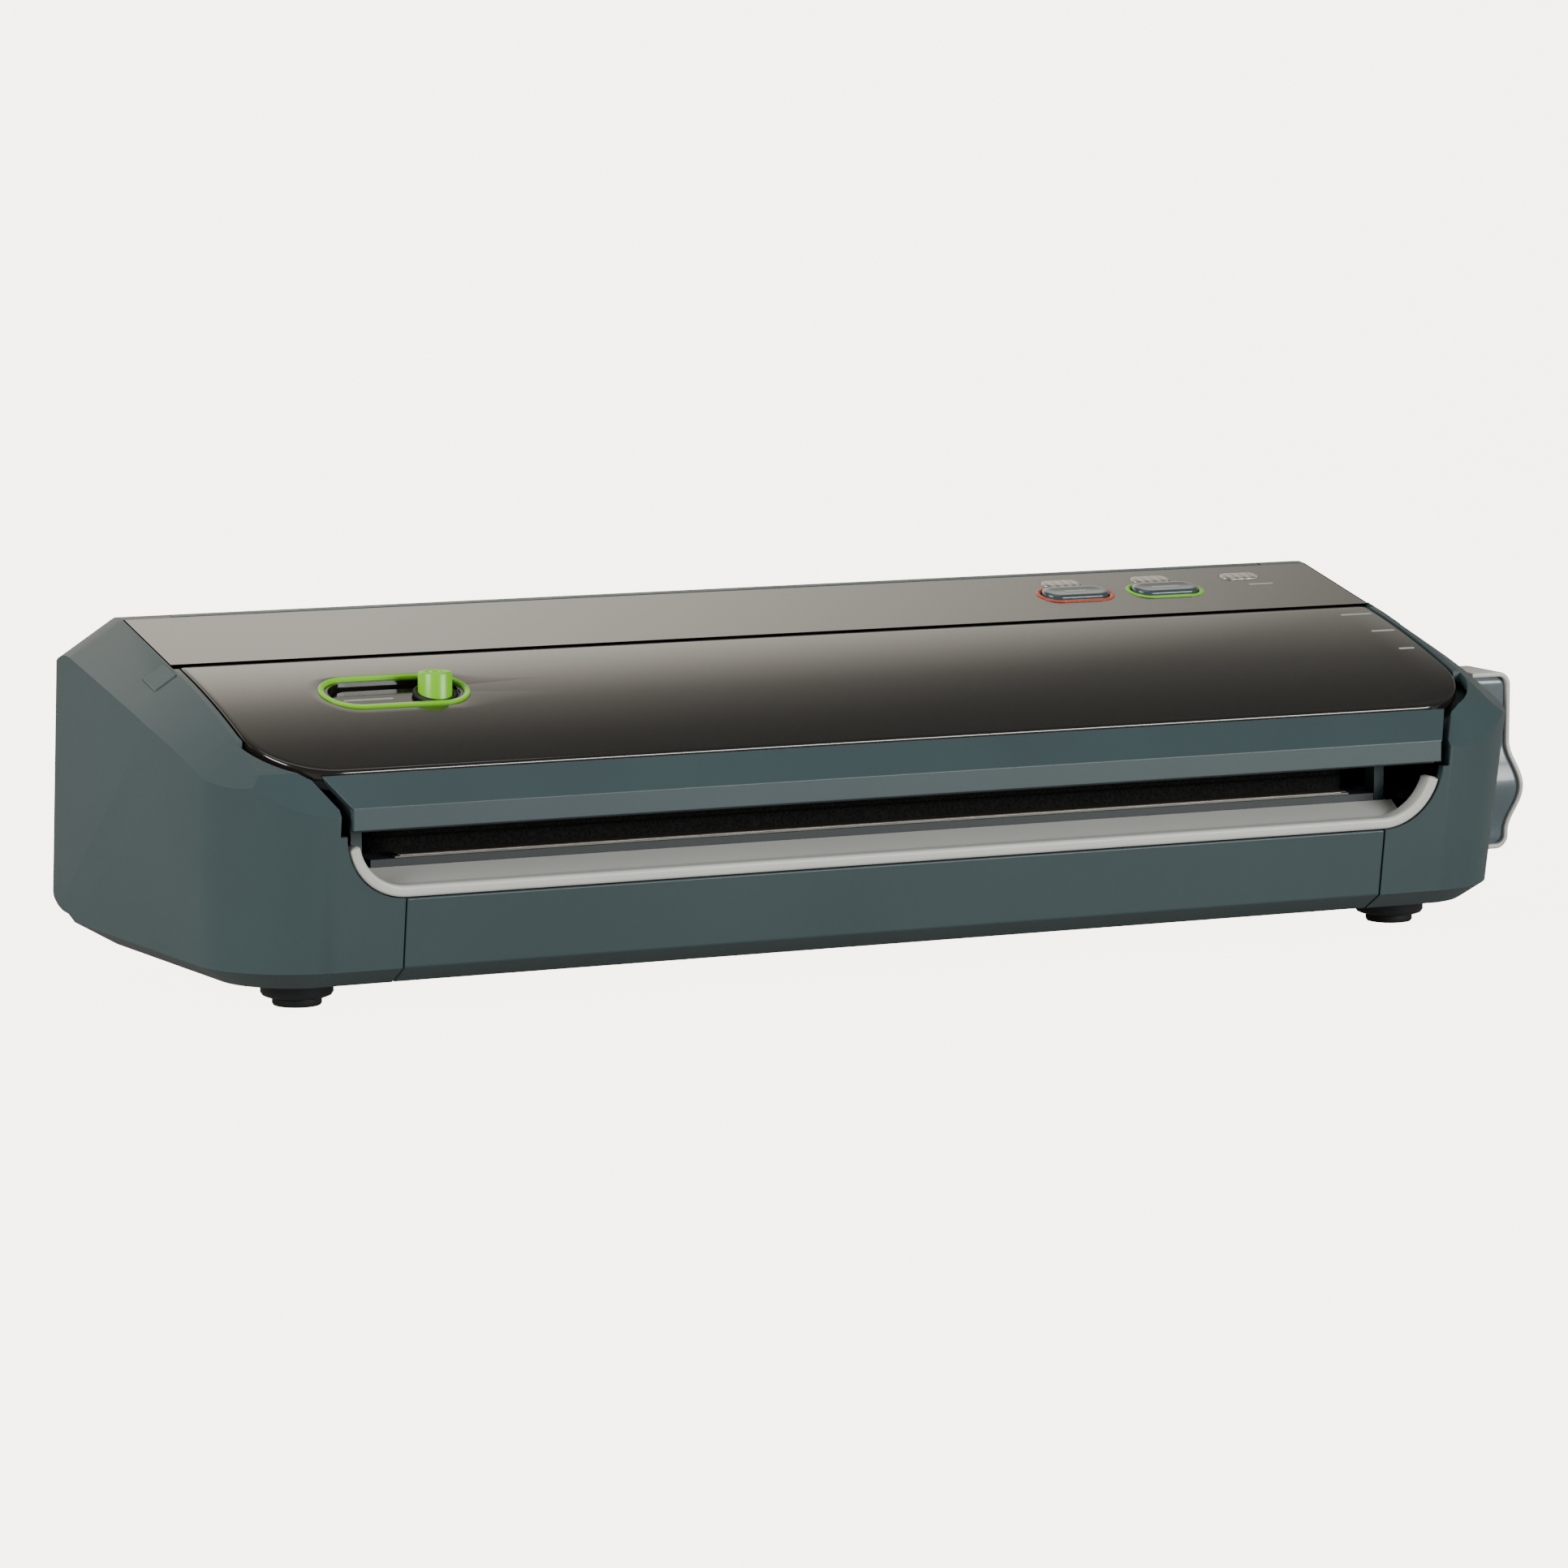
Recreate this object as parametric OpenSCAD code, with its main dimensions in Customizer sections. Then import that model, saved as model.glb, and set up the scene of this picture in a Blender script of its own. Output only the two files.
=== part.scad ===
// Counter-top vacuum sealer.
// Frame: +X to the right of someone facing the mouth, +Y to the rear, +Z up.
// The origin is on the resting plane, on the centre line of the housing.

/* [Housing] */

// Width of the housing along the lower edge of its front corners
body_w = 379.6; // [370:0.2:460]
// Depth of the housing along its lower edge
body_d = 129.4; // [124:0.2:160]
// Height of the rear edge of the control panel
body_h = 92.3; // [88:0.1:112]
// Wall thickness of the housing shells
wall = 2.6; // [2:0.1:3.2]
// Radius of the front vertical corners
corner_r = 28; // [20:1:32]
// Radius of the rear vertical corners
rear_r = 10; // [10:0.5:14]
// How much wider each side is at the rear than at the front
flare = 5.8; // [3:0.1:7]
// Fall of the shoulders beside the lid, as a slope
bank = 0.64; // [0.4:0.02:0.8]
// Slope of the control panel in degrees
panel_tilt = 13; // [11:0.5:14]

/* [Lid] */

// Width of the shoulder on each side of the lid
lid_inset = 11.6; // [11:0.1:14]
// Thickness of the gloss lid skin
lid_t = 2.5; // [2:0.1:3]
// Radius of the lid's front corners
lid_corner = 20; // [12:1:26]
// Crown of the lid between its front bend and the seam
lid_bow = 1.7; // [0.5:0.1:2.5]
// Radius of the hinge pins
pin_r = 2; // [1.6:0.1:2.4]

/* [Mouth] */

// Width of each cheek beside the mouth
cheek_w = 27.5; // [26:0.1:34]
// Height of the tray's lower edge above the table
tray_z = 30.5; // [28:0.1:32]
// Thickness of the tray's rim
tray_t = 3; // [2.4:0.1:3.6]
// Radius of the curled tray ends
tray_r = 16.7; // [14:0.1:17.5]
// Width of the heating strip
strip_w = 4; // [3:0.5:5]

/* [Lever] */

// Radius of the lever's turning hub
hub_r = 11.5; // [10:0.5:13]
// Width of the lever's arms
lever_w = 18; // [14:1:20]
// Reach of the upper arm from the pivot
lever_up = 32.6; // [26:0.2:34]
// Reach of the lower arm from the pivot
lever_down = 17.9; // [14:0.1:19]
// Thickness of the lever
lever_t = 13.2; // [10:0.1:14]
// Radius of the lever shaft
shaft_r = 2.8; // [2.2:0.1:3]
// Running clearance of pins and shafts in their bores
fit = 0.06; // [0.03:0.01:0.1]

/* [Controls] */

// Length of a button's coloured ring
ring_l = 23.8; // [20:0.2:26]
// Width of a button's coloured ring
ring_w = 12.4; // [10:0.2:13]
// Distance between the two buttons
button_pitch = 28.8; // [27:0.1:32]
// Travel of a button
button_travel = 1.2; // [0.6:0.1:1.4]

/* [Accessory port] */

// Length of the port's coloured ring
port_l = 41.2; // [36:0.2:48]
// Width of the port's coloured ring
port_w = 19.4; // [16:0.2:21]
// Bore radius of the port nozzle
nozzle_bore = 2.5; // [1.5:0.1:3]

/* [Feet] */

// Radius of a rubber foot
foot_r = 6.45; // [5:0.05:8]
// Height of a rubber foot below its flange
foot_h = 2.4; // [1.5:0.1:3]

/* [Hidden] */
$fn = 64;
far = 600;
gap = 0.3;

yf = -61.4 * body_d / 129.4;
yr = yf + body_d;
z0 = 7.3;
z1 = 12;
lean = 0.14;
crease_z = 52.6;
crease_y = yf - lean * (crease_z - z1);
brow_y = yf + 3.9;
brow_z = 63;
rc_y = yr - 23.8;
seam_y = rc_y - 38.1;
seam_z = body_h - 38.1 * tan(panel_tilt);
roll_r = 16;
low_r = 18;
hw = body_w / 2;
lx = hw - lid_inset;
mx = hw - cheek_w;
bank_x = lx + 2.4;
seam_x = hw - 46.1;
back_x = hw - 23.5;
side_lean = 0.035;
rear_lean = 0.093;

nose_r = 5.5;
slope = panel_tilt - 0.5;
hinge_y = seam_y + nose_r * sin(slope);
hinge_z = seam_z - nose_r * cos(slope);

lid_front = brow_y - 0.3;
deck_z = 38.5;
gasket_x = mx - 14.8;
post_x = mx - 11.3;
bar_x = mx - 21.3;
crank_x = post_x - 7;
shaft_y = yf + 48.4;
shaft_z = 33.6;
crank = 7.5;
throw = 2.88;
bar_z = 21.6;
lever_x0 = hw + 6.6;
lever_x1 = lever_x0 + lever_t;
hub_x1 = lever_x1 + 3.4;
rim_t = 1.4;
port_x = 50.1 - lx;
port_y = yf + 43.8;
nozzle_x = port_x + 11.4;
button_y = rc_y - 16.6;
lens_y = rc_y - 7.7;
seal_x = lx - 81.9;
vac_x = seal_x + button_pitch;
power_x = lx - 24.5;
foot_x = hw - 27.2;
foot_y = [yf + 26.4, yr - 36];

// ---- shared outlines ----

function lid_point(t) = [
    brow_y + (seam_y - brow_y) * t,
    brow_z + (seam_z - brow_z) * t + 4 * lid_bow * t * (1 - t)
];
function arc_point(c, r, a) = [c[0] + r * cos(a), c[1] + r * sin(a)];

roll_c = [rc_y + roll_r * sin(panel_tilt), body_h - roll_r * cos(panel_tilt)];
low_c = [yr - low_r, z1 + low_r + 1.7];
side_profile = concat(
    [[yr - 34, z0], [yf + 7.5, z0], [yf, z1], [crease_y, crease_z]],
    [for (k = [0:10]) lid_point(k / 10)],
    [for (k = [0:9]) arc_point(roll_c, roll_r, 90 + panel_tilt - k * 12.2)],
    [for (k = [0:7]) arc_point(low_c, low_r, -5 - k * 12.2)]
);

// A Y-Z outline drawn out along X.
module along_x(x0, x1) {
    translate([x0, 0, 0])
        rotate([90, 0, 90])
            linear_extrude(x1 - x0)
                children();
}

// An X-Z outline drawn out along Y.
module along_y(y0, y1) {
    translate([0, y1, 0])
        rotate([90, 0, 0])
            linear_extrude(y1 - y0)
                children();
}

module box(a, b) {
    translate(a)
        cube([b[0] - a[0], b[1] - a[1], b[2] - a[2]]);
}

module side(i = 0) {
    if (i == 0)
        polygon(side_profile);
    else
        offset(delta = -i)
            polygon(side_profile);
}

// The drafted plan form: the walls lean out above the lower chamfer.
module plan_form(i = 0) {
    hull()
        for (s = [-1, 1]) {
            plan_discs(s, z0 + i, 7 + i);
            plan_discs(s, z1 + 0.4 * i, i);
            plan_discs(s, body_h + 8, i);
        }
}

module plan_discs(s, z, i) {
    up = max(0, z - z1);
    translate([s * (hw - corner_r + side_lean * up), yf + corner_r - lean * up, z - 0.005])
        cylinder(h = 0.01, r = corner_r - i, $fn = 64);
    translate([s * (hw + flare - rear_r), yr + 1.8 - rear_r - rear_lean * up, z - 0.005])
        cylinder(h = 0.01, r = rear_r - i, $fn = 48);
}

// The side outline's top, carried on down in front and behind, as seen along a falling shoulder.
bank_angle = atan(bank);
bank_front = (seam_z - brow_z + 4 * lid_bow) / (seam_y - brow_y);
bank_profile = concat(
    [[-far, -far], [brow_y - far / 4, brow_z - bank_front * far / 4]],
    [for (p = side_profile) if (p[1] > crease_z + 5) p],
    [[yr + far / 4, -far]]
);

module shoulder(s, i) {
    translate([s * bank_x, 0, seam_z])
        rotate([0, s * bank_angle, 0])
            along_x(-far, far)
                offset(delta = -i)
                    polygon([for (p = bank_profile) [p[0], (p[1] - seam_z) * cos(bank_angle)]]);
}

module form(i = 0) {
    intersection() {
        plan_form(i);
        along_x(-far, far)
            side(i);
        shoulder(1, i);
        shoulder(-1, i);
    }
}

module shell() {
    difference() {
        form();
        form(wall);
    }
}

// A layer that follows the side outline, from depth a to depth b.
module layer(a, b, x0, x1) {
    along_x(x0, x1)
        difference() {
            side(a);
            side(b);
        }
}

module rounded(x0, y0, x1, y1, r) {
    hull()
        for (x = [x0 + r, x1 - r], y = [y0 + r, y1 - r])
            translate([x, y])
                circle(r);
}

module stadium(l, w) {
    hull()
        for (s = [-1, 1])
            translate([s * (l - w) / 2, 0])
                circle(w / 2);
}

// Plan outline of the lid, grown by g at the sides and in front.
module lid_plan(g = 0, back = 0) {
    hull() {
        for (s = [-1, 1])
            translate([s * (lx - lid_corner), lid_front + lid_corner])
                circle(lid_corner + g, $fn = 96);
        translate([-lx - g, seam_y - 30])
            square([2 * (lx + g), 30 + back]);
    }
}

// Front outline of the mouth, in X and Z, drawn in by g.
module mouth(g = 0) {
    difference() {
        polygon([
            [-mx + g, 20], [mx - g, 20], [mx - g, crease_z + 1.5], [mx + 5.6 - g, brow_z - 0.9],
            [mx + 5.6 - g, far], [-mx - 5.6 + g, far], [-mx - 5.6 + g, brow_z - 0.9],
            [-mx + g, crease_z + 1.5]
        ]);
    }
}

module tray_outline(g) {
    hull() {
        for (s = [-1, 1])
            translate([s * (mx - 2 - tray_r), tray_z + tray_r])
                circle(tray_r + g, $fn = 96);
        translate([-mx + 2 - g, tray_z + tray_r])
            square([2 * mx - 4 + 2 * g, 30]);
    }
}

// Places children on the control panel, z along its normal.
module on_panel(x, y) {
    translate([x, y, body_h - (rc_y - y) * tan(panel_tilt)])
        rotate([panel_tilt, 0, 0])
            children();
}

lid_tilt = atan((seam_z - brow_z) / (seam_y - brow_y)) - 1;
port_t = (port_y - brow_y) / (seam_y - brow_y);
port_z = lid_point(port_t)[1];

module on_lid(x, y) {
    translate([x, y, port_z + (y - port_y) * tan(lid_tilt)])
        rotate([lid_tilt, 0, 0])
            children();
}

module rod_x(x0, x1, y, z, r) {
    translate([x0, y, z])
        rotate([0, 90, 0])
            cylinder(h = x1 - x0, r = r);
}

// ---- housing ----

pan = [hw - 14.6, yf + 12.2, yr - 30];

module base_pan() {
    color("#3b4446") {
        difference() {
            translate([0, 0, z0])
                linear_extrude(wall)
                    rounded(-pan[0], pan[1], pan[0], pan[2], 14);
            for (p = posts)
                translate([p[0], p[1], 0]) {
                    cylinder(h = far, r = 1.6, $fn = 32);
                    cylinder(h = z0 + 1.4, r = 3.2, $fn = 32);
                }
        }
        for (x = [-100, 0, 100])
            box([x - 3, shaft_y + 3, z0 + wall], [x + 3, shaft_y + 9, bar_z - 0.4]);
    }
}

posts = [for (x = [65.8 - hw, -8, hw - 65.8], y = [yf + 18, yf + 44]) [x, y]];

module cheek_shell() {
    intersection() {
        difference() {
            form();
            difference() {
                form(wall);
                // ledge under the lid's edge and the wall beside the mouth
                intersection() {
                    layer(5, 7, mx + gap, lx + 6);
                    box([0, yf + 4, 0], [far, rc_y - 1, far]);
                }
                along_x(mx + 0.3, mx + 2.5)
                    intersection() {
                        side(5);
                        translate([crease_y - 5, tray_z + tray_r])
                            square([seam_y - crease_y - 10, far]);
                    }
                // bearing for the hinge pin
                rod_x(lx - 1, lx + 6, hinge_y, hinge_z, pin_r + 2.6);
            }
        }
        union() {
            box([seam_x + 0.2, -far, 0], [far, rc_y + 0.4, far]);
            box([back_x + 0.2, -far, 0], [far, far, far]);
        }
    }
}

module cheek_cuts() {
    // lid and control panel recess
    intersection() {
        translate([0, 0, 40])
            linear_extrude(far)
                union() {
                    lid_plan(0.9, 1);
                    translate([-lx - 2.4, seam_y - 1])
                        square([2 * lx + 4.8, rc_y + 0.3 - seam_y + 1]);
                }
        along_x(-far, far)
            difference() {
                offset(delta = 1)
                    polygon(side_profile);
                side(5);
            }
    }
    // wider relief round the lid's front corners
    intersection() {
        translate([0, 0, 40])
            linear_extrude(far)
                difference() {
                    lid_plan(3.2);
                    translate([-far, lid_front + 17])
                        square([2 * far, far]);
                }
        along_x(-far, far)
            difference() {
                offset(delta = 1)
                    polygon(side_profile);
                side(5);
            }
    }
    // mouth
    along_y(-far, seam_y - 15)
        intersection() {
            mouth();
            translate([-far, tray_z + tray_r])
                square([2 * far, 2 * far]);
        }
    along_y(-far, yf + 14)
        intersection() {
            tray_outline(0.15);
            translate([-far, 0])
                square([2 * far, tray_z + tray_r + 1]);
        }
    box([0, -far, tray_z + tray_r], [mx, seam_y - 15, far]);
    // clear of the base pan
    translate([0, 0, z0 - 1])
        linear_extrude(wall + 1.2)
            rounded(-pan[0] - 0.2, pan[1] - 0.2, pan[0] + 0.2, pan[2] + 0.2, 14.2);
    // pocket for the pin plug and bore for the pin
    plug(0.1);
    rod_x(lx - 6, lx + 5.2, hinge_y, hinge_z, pin_r + fit);
    // hinge barrel and lid hub swing room
    rod_x(0, lx - 0.5, hinge_y, hinge_z, nose_r + 0.6);
    // foot flange
    for (y = foot_y)
        translate([foot_x, y, 0])
            cylinder(h = z0 + 0.01, r = 9.6);
}

plug_x0 = lx + 3;
plug_x1 = lx + 9;

// The cap over a hinge pin, let into the shoulder; g clears it all round.
module plug(g) {
    intersection() {
        difference() {
            shoulder(1, g > 0 ? -1 : -0.25);
            shoulder(1, 1.2 + g / 10);
        }
        box([plug_x0 - g, seam_y - 5.2 - g, 60], [plug_x1 + g, seam_y + 4.2 + g, far]);
    }
}

module left_cheek() {
    color("#465658")
        mirror([1, 0, 0])
            difference() {
                cheek_shell();
                cheek_cuts();
            }
}

module right_cheek() {
    color("#465658")
        difference() {
            union() {
                cheek_shell();
                intersection() {
                    rod_x(hw - 14, far, shaft_y, shaft_z, shaft_r + 3);
                    form();
                }
            }
            cheek_cuts();
            rod_x(0, far, shaft_y, shaft_z, shaft_r + fit);
        }
}

module front_panel() {
    color("#465658")
        difference() {
            intersection() {
                shell();
                box([-seam_x + 0.2, -far, 0], [seam_x - 0.2, yf + 20, tray_z - 0.25]);
            }
            translate([0, 0, z0 - 1])
                linear_extrude(wall + 1.2)
                    rounded(-pan[0] - 0.2, pan[1] - 0.2, pan[0] + 0.2, pan[2] + 0.2, 14.2);
        }
}

gland = [-hw + 44, 40];

module rear_cover() {
    color("#3f4d4f")
        difference() {
            intersection() {
                shell();
                union() {
                    box([-back_x + 0.2, rc_y + 0.8, 0], [back_x - 0.2, far, far]);
                    box([-seam_x + 0.2, pan[2] - 2, 0], [seam_x - 0.2, far, z0 + wall + 3]);
                }
            }
            translate([0, 0, z0 - 1])
                linear_extrude(wall + 1.2)
                    rounded(-pan[0] - 0.2, pan[1] - 0.2, pan[0] + 0.2, pan[2] + 0.2, 14.2);
            translate([gland[0], 0, gland[1]])
                rotate([-90, 0, 0])
                    cylinder(h = far, r = 6);
        }
}

module cord_gland() {
    color("#22282a")
        translate([gland[0], yr - 6, gland[1]])
            rotate([-90, 0, 0])
                difference() {
                    union() {
                        cylinder(h = 8, r = 6);
                        translate([0, 0, 6])
                            cylinder(h = 2.4, r = 8);
                        translate([0, 0, -1.4])
                            cylinder(h = 2, r = 8);
                    }
                    translate([0, 0, -2])
                        cylinder(h = 20, r = 3.2);
                }
}

module control_panel() {
    color("#2c2a26")
        difference() {
            union() {
                layer_part(0, lid_t, -lx - 1.9, lx + 1.9, seam_y, rc_y);
                for (x = [seal_x - 12, power_x + 5])
                    for (y = [button_y - 4, lens_y + 1])
                        on_panel(x, y)
                            translate([0, 0, -11.4])
                                cylinder(h = 11.4 - lid_t + 0.6, r = 2.4, $fn = 32);
            }
            rod_x(-far, far, hinge_y, hinge_z, nose_r + 0.5);
            for (x = [seal_x, vac_x])
                on_panel(x, button_y)
                    translate([0, 0, -8])
                        linear_extrude(20)
                            stadium(ring_l, ring_w);
            for (p = lenses)
                on_panel(p[0], p[1])
                    translate([0, 0, -8])
                        linear_extrude(20)
                            stadium(12.3, 5.6);
        }
}

lenses = [[seal_x, lens_y], [vac_x, lens_y], [power_x, lens_y - 0.9]];

module layer_part(a, b, x0, x1, y0, y1) {
    along_x(x0, x1)
        intersection() {
            difference() {
                side(a);
                side(b);
            }
            translate([y0, 40])
                square([y1 - y0, far]);
        }
}

module button_ring(x) {
    on_panel(x, button_y)
        translate([0, 0, -lid_t])
            linear_extrude(lid_t + 0.3)
                difference() {
                    stadium(ring_l, ring_w);
                    stadium(ring_l - 2.8, ring_w - 2.8);
                }
}

module seal_ring() {
    color("#c0583f")
        button_ring(seal_x);
}

module vac_ring() {
    color("#82c832")
        button_ring(vac_x);
}

module button_cap(x) {
    on_panel(x, button_y) {
        translate([0, 0, -4.5])
            linear_extrude(5.7)
                stadium(ring_l - 3.5, ring_w - 3.5);
        translate([0, 0, -4.5])
            linear_extrude(1.3)
                stadium(ring_l - 1.5, ring_w - 1.5);
    }
}

module seal_button() {
    color("#39484c")
        button_cap(seal_x);
}

module vac_button() {
    color("#39484c")
        button_cap(vac_x);
}

module indicator_lenses() {
    color("#d8d4c4")
        for (p = lenses)
            on_panel(p[0], p[1])
                translate([0, 0, -4.2])
                    linear_extrude(4.6)
                        stadium(12.3, 5.6);
}

module control_board() {
    color("#2f6b45")
        on_panel((seal_x + power_x) / 2, button_y)
            translate([-(power_x - seal_x) / 2 - 18, -11, -13])
                cube([power_x - seal_x + 34, 24, 1.6]);
}

module tact_switches() {
    color("#26282a")
        for (x = [seal_x, vac_x])
            on_panel(x, button_y) {
                translate([-3, -3, -11.4])
                    cube([6, 6, 3.5]);
                translate([0, 0, -7.9])
                    cylinder(h = 2.9 - button_travel, r = 1.7, $fn = 32);
            }
}

module indicator_lamps() {
    color("#d9e8c8")
        for (p = lenses)
            on_panel(p[0], p[1]) {
                translate([0, 0, -11.4])
                    cylinder(h = 5, r = 1.5, $fn = 32);
                translate([0, 0, -6.4])
                    sphere(r = 1.5, $fn = 32);
            }
}

module deck() {
    color("#3a4244") {
        difference() {
            union() {
                box([-mx + 1.5, yf + 11.2, deck_z - 2], [mx - 1.5, yf + 52.4, deck_z]);
                along_x(-mx + 1.5, mx - 1.5)
                    polygon([
                        [yf + 50, deck_z - 2], [yf + 52.4, deck_z - 2], [hinge_y - 6, hinge_z - 12],
                        [hinge_y - 8.4, hinge_z - 12]
                    ]);
                for (p = posts)
                    translate([p[0], p[1], z0 + wall])
                        cylinder(h = deck_z - 1 - z0 - wall, r = 3.6, $fn = 32);
            }
            box([-trough_x, trough_y[0], 0], [trough_x, trough_y[1], far]);
            box([-bar_x, bar_y[0], deck_z - 1.5], [bar_x, bar_y[1], far]);
            for (p = posts)
                translate([p[0], p[1], 0])
                    cylinder(h = z0 + wall + 9, r = 1.45, $fn = 32);
            for (s = [-1, 1])
                box([s * (post_x + 1.6) - 4.6, -far, 0], [s * (post_x + 1.6) + 4.6, yf + 25, far]);
        }
    }
}

trough_x = mx - 26.3;
trough_y = [yf + 27.4, yf + 41.4];
bar_y = [yf + 12.4, yf + 18.4];

module trough() {
    color("#565e5c")
        difference() {
            box([-trough_x, trough_y[0], 29], [trough_x, trough_y[1], deck_z + 0.5]);
            box(
                [-trough_x + 1.6, trough_y[0] + 1.6, 30.6],
                [trough_x - 1.6, trough_y[1] - 1.6, far]
            );
            translate([hose_x, trough_y[1] - 3, 33])
                rotate([-90, 0, 0])
                    cylinder(h = 6, r = 1.5, $fn = 32);
        }
}

module gasket(z_low, z_high) {
    translate([0, 0, z_low])
        linear_extrude(z_high - z_low)
            difference() {
                rounded(-gasket_x + 1, trough_y[0] - 7.4, gasket_x - 1, trough_y[1] + 6.6, 9);
                rounded(-gasket_x + 7.6, trough_y[0] - 0.8, gasket_x - 7.6, trough_y[1] + 0.4, 3);
            }
}

module lower_gasket() {
    color("#1d1d1c")
        gasket(deck_z, 42.9);
}

module heat_bar() {
    color("#8d8a80")
        box(
            [0.2 - bar_x, bar_y[0] + 0.1, deck_z - 1.5],
            [bar_x - 0.2, bar_y[1] - 0.1, deck_z + 0.3]
        );
}

module heat_strip() {
    color("#b8b8b4")
        box(
            [2 - bar_x, (bar_y[0] + bar_y[1] - strip_w) / 2, deck_z + 0.3],
            [bar_x - 2, (bar_y[0] + bar_y[1] + strip_w) / 2, deck_z + 0.6]
        );
}

module release_tape() {
    color("#b9a27c")
        box(
            [1 - bar_x, bar_y[0] + 0.1, deck_z + 0.6],
            [bar_x - 1, bar_y[1] - 0.1, deck_z + 0.8]
        );
}

module tray() {
    color("#cfcfc7") {
        difference() {
            intersection() {
                form();
                along_y(-far, crease_y + 6.4)
                    difference() {
                        intersection() {
                            tray_outline(0);
                            translate([-far, 0])
                                square([2 * far, tray_z + 13.3]);
                        }
                        tray_outline(-tray_t);
                    }
            }
        }
        intersection() {
            along_x(-mx + 14, mx - 14)
                polygon([
                    [crease_y + 6.4, tray_z], [crease_y + 6.4, tray_z + tray_t],
                    [yf + 11, deck_z], [yf + 11, deck_z - 2.4], [yf + 8, tray_z]
                ]);
            linear_extrude(far)
                polygon([
                    [-mx + 15, crease_y], [mx - 15, crease_y], [mx - 15, crease_y + 8],
                    [mx - 23, yf + 11], [-mx + 23, yf + 11], [-mx + 15, crease_y + 8]
                ]);
        }
    }
}

hose_x = -118;
motor = [0, yr - 36, 36];

// Keeps children inside the shell's rear curve.
module inside() {
    intersection() {
        along_x(-140, 140)
            side(wall);
        children();
    }
}

module pump_motor() {
    color("#9aa0a2")
        difference() {
            union() {
                rod_x(-96, -52, motor[1], motor[2], 13.5);
                rod_x(-52, -49, motor[1], motor[2], 6);
            }
            rod_x(-100, -40, motor[1], motor[2], 1.9);
        }
}

module pump_head() {
    color("#2a2e30")
        difference() {
            union() {
                box([-138, motor[1] - 16, motor[2] - 16], [-96, motor[1] + 16, motor[2] + 16]);
                translate([hose_x, motor[1] - 16, 33])
                    rotate([90, 0, 0])
                        cylinder(h = 6, r = 1.4, $fn = 32);
            }
            rod_x(-134, -90, motor[1], motor[2], 10);
        }
}

module pump_rotor() {
    color("#c6a24a") {
        rod_x(-106, -46, motor[1], motor[2], 1.5);
        rod_x(-130, -106, motor[1] + 2, motor[2], 6);
    }
}

module motor_bracket() {
    color("#7c8284")
        inside() difference() {
            union() {
                box([-92, motor[1] - 16, z0 + wall], [-56, motor[1] + 16, motor[2] + 2]);
                box([-138, motor[1] - 16, z0 + wall], [-98, motor[1] + 16, motor[2] - 16]);
            }
            rod_x(-100, -40, motor[1], motor[2], 13.5);
            box([-90, motor[1] - 14, z0 + wall + 2], [-58, motor[1] + 14, motor[2] + 3]);
            box([-95, motor[1] - 13, z0 + wall + 2], [-50, motor[1] + 13, motor[2] + 3]);
        }
}

module vacuum_hose() {
    color("#b8bcb8")
        translate([hose_x, motor[1] - 16, 33])
            rotate([90, 0, 0])
                difference() {
                    cylinder(h = motor[1] - 16 - trough_y[1], r = 2.6, $fn = 48);
                    translate([0, 0, -1])
                        cylinder(h = far, r = 1.4, $fn = 48);
                }
}

module transformer_core() {
    color("#6f6a64")
        inside() difference() {
            box([40, motor[1] - 14, z0 + wall], [92, motor[1] + 14, 54]);
            box([49, motor[1] - 30, z0 + wall + 9], [60, motor[1] + 30, 45]);
            box([72, motor[1] - 30, z0 + wall + 9], [83, motor[1] + 30, 45]);
        }
}

module transformer_coil() {
    color("#a5542f")
        difference() {
            box([49.2, motor[1] - 20, z0 + wall + 9.2], [82.8, motor[1] + 20, 44.8]);
            box([59.9, motor[1] - 14.1, 0], [72.1, motor[1] + 14.1, far]);
        }
}

board_y = yr - 42;

module power_board() {
    color("#2f6b45")
        inside() {
            box([-34, board_y - 20, 16], [30, board_y + 20, 17.6]);
            for (x = [-30, 26], y = [-16, 16])
                translate([x, board_y + y, z0 + wall])
                    cylinder(h = 16 - z0 - wall, r = 2.4, $fn = 32);
            for (x = [-20, -6])
                translate([x, board_y + 8, 17.6])
                    cylinder(h = 20, r = 5, $fn = 48);
            box([6, board_y - 14, 17.6], [24, board_y - 11, 36]);
            box([-24, board_y - 16, 17.6], [-6, board_y - 6, 26]);
        }
}

module foot_flanges() {
    color("#20262a")
        for (x = [-foot_x, foot_x], y = foot_y)
            translate([x, y, foot_h])
                difference() {
                    union() {
                        cylinder(h = z0 - foot_h, r = 9.45);
                    }
                    translate([0, 0, -1])
                        cylinder(h = 3.2, r = foot_r - 1);
                }
}

module rubber_feet() {
    color("#151617")
        for (x = [-foot_x, foot_x], y = foot_y)
            translate([x, y, 0]) {
                cylinder(h = foot_h, r = foot_r);
                cylinder(h = foot_h + 2.2, r = foot_r - 1);
            }
}

module pin_plugs() {
    color("#54666a")
        for (s = [0, 1])
            mirror([s, 0, 0])
                plug(0);
}

module base_screws() {
    color("#9ea2a4")
        for (p = posts)
            translate([p[0], p[1], z0]) {
                translate([0, 0, 0.1])
                    cylinder(h = 1.3, r = 3, $fn = 32);
                cylinder(h = 10.6, r = 1.4, $fn = 32);
            }
}

// ---- lid ----

module lid_cover() {
    color("#2c2a26")
        difference() {
            intersection() {
                layer_part(0, lid_t, -far, far, lid_front - 2, seam_y);
                linear_extrude(far)
                    lid_plan();
            }
            on_lid(port_x, port_y)
                translate([0, 0, -20])
                    linear_extrude(40)
                        stadium(port_l, port_w);
        }
}

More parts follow.
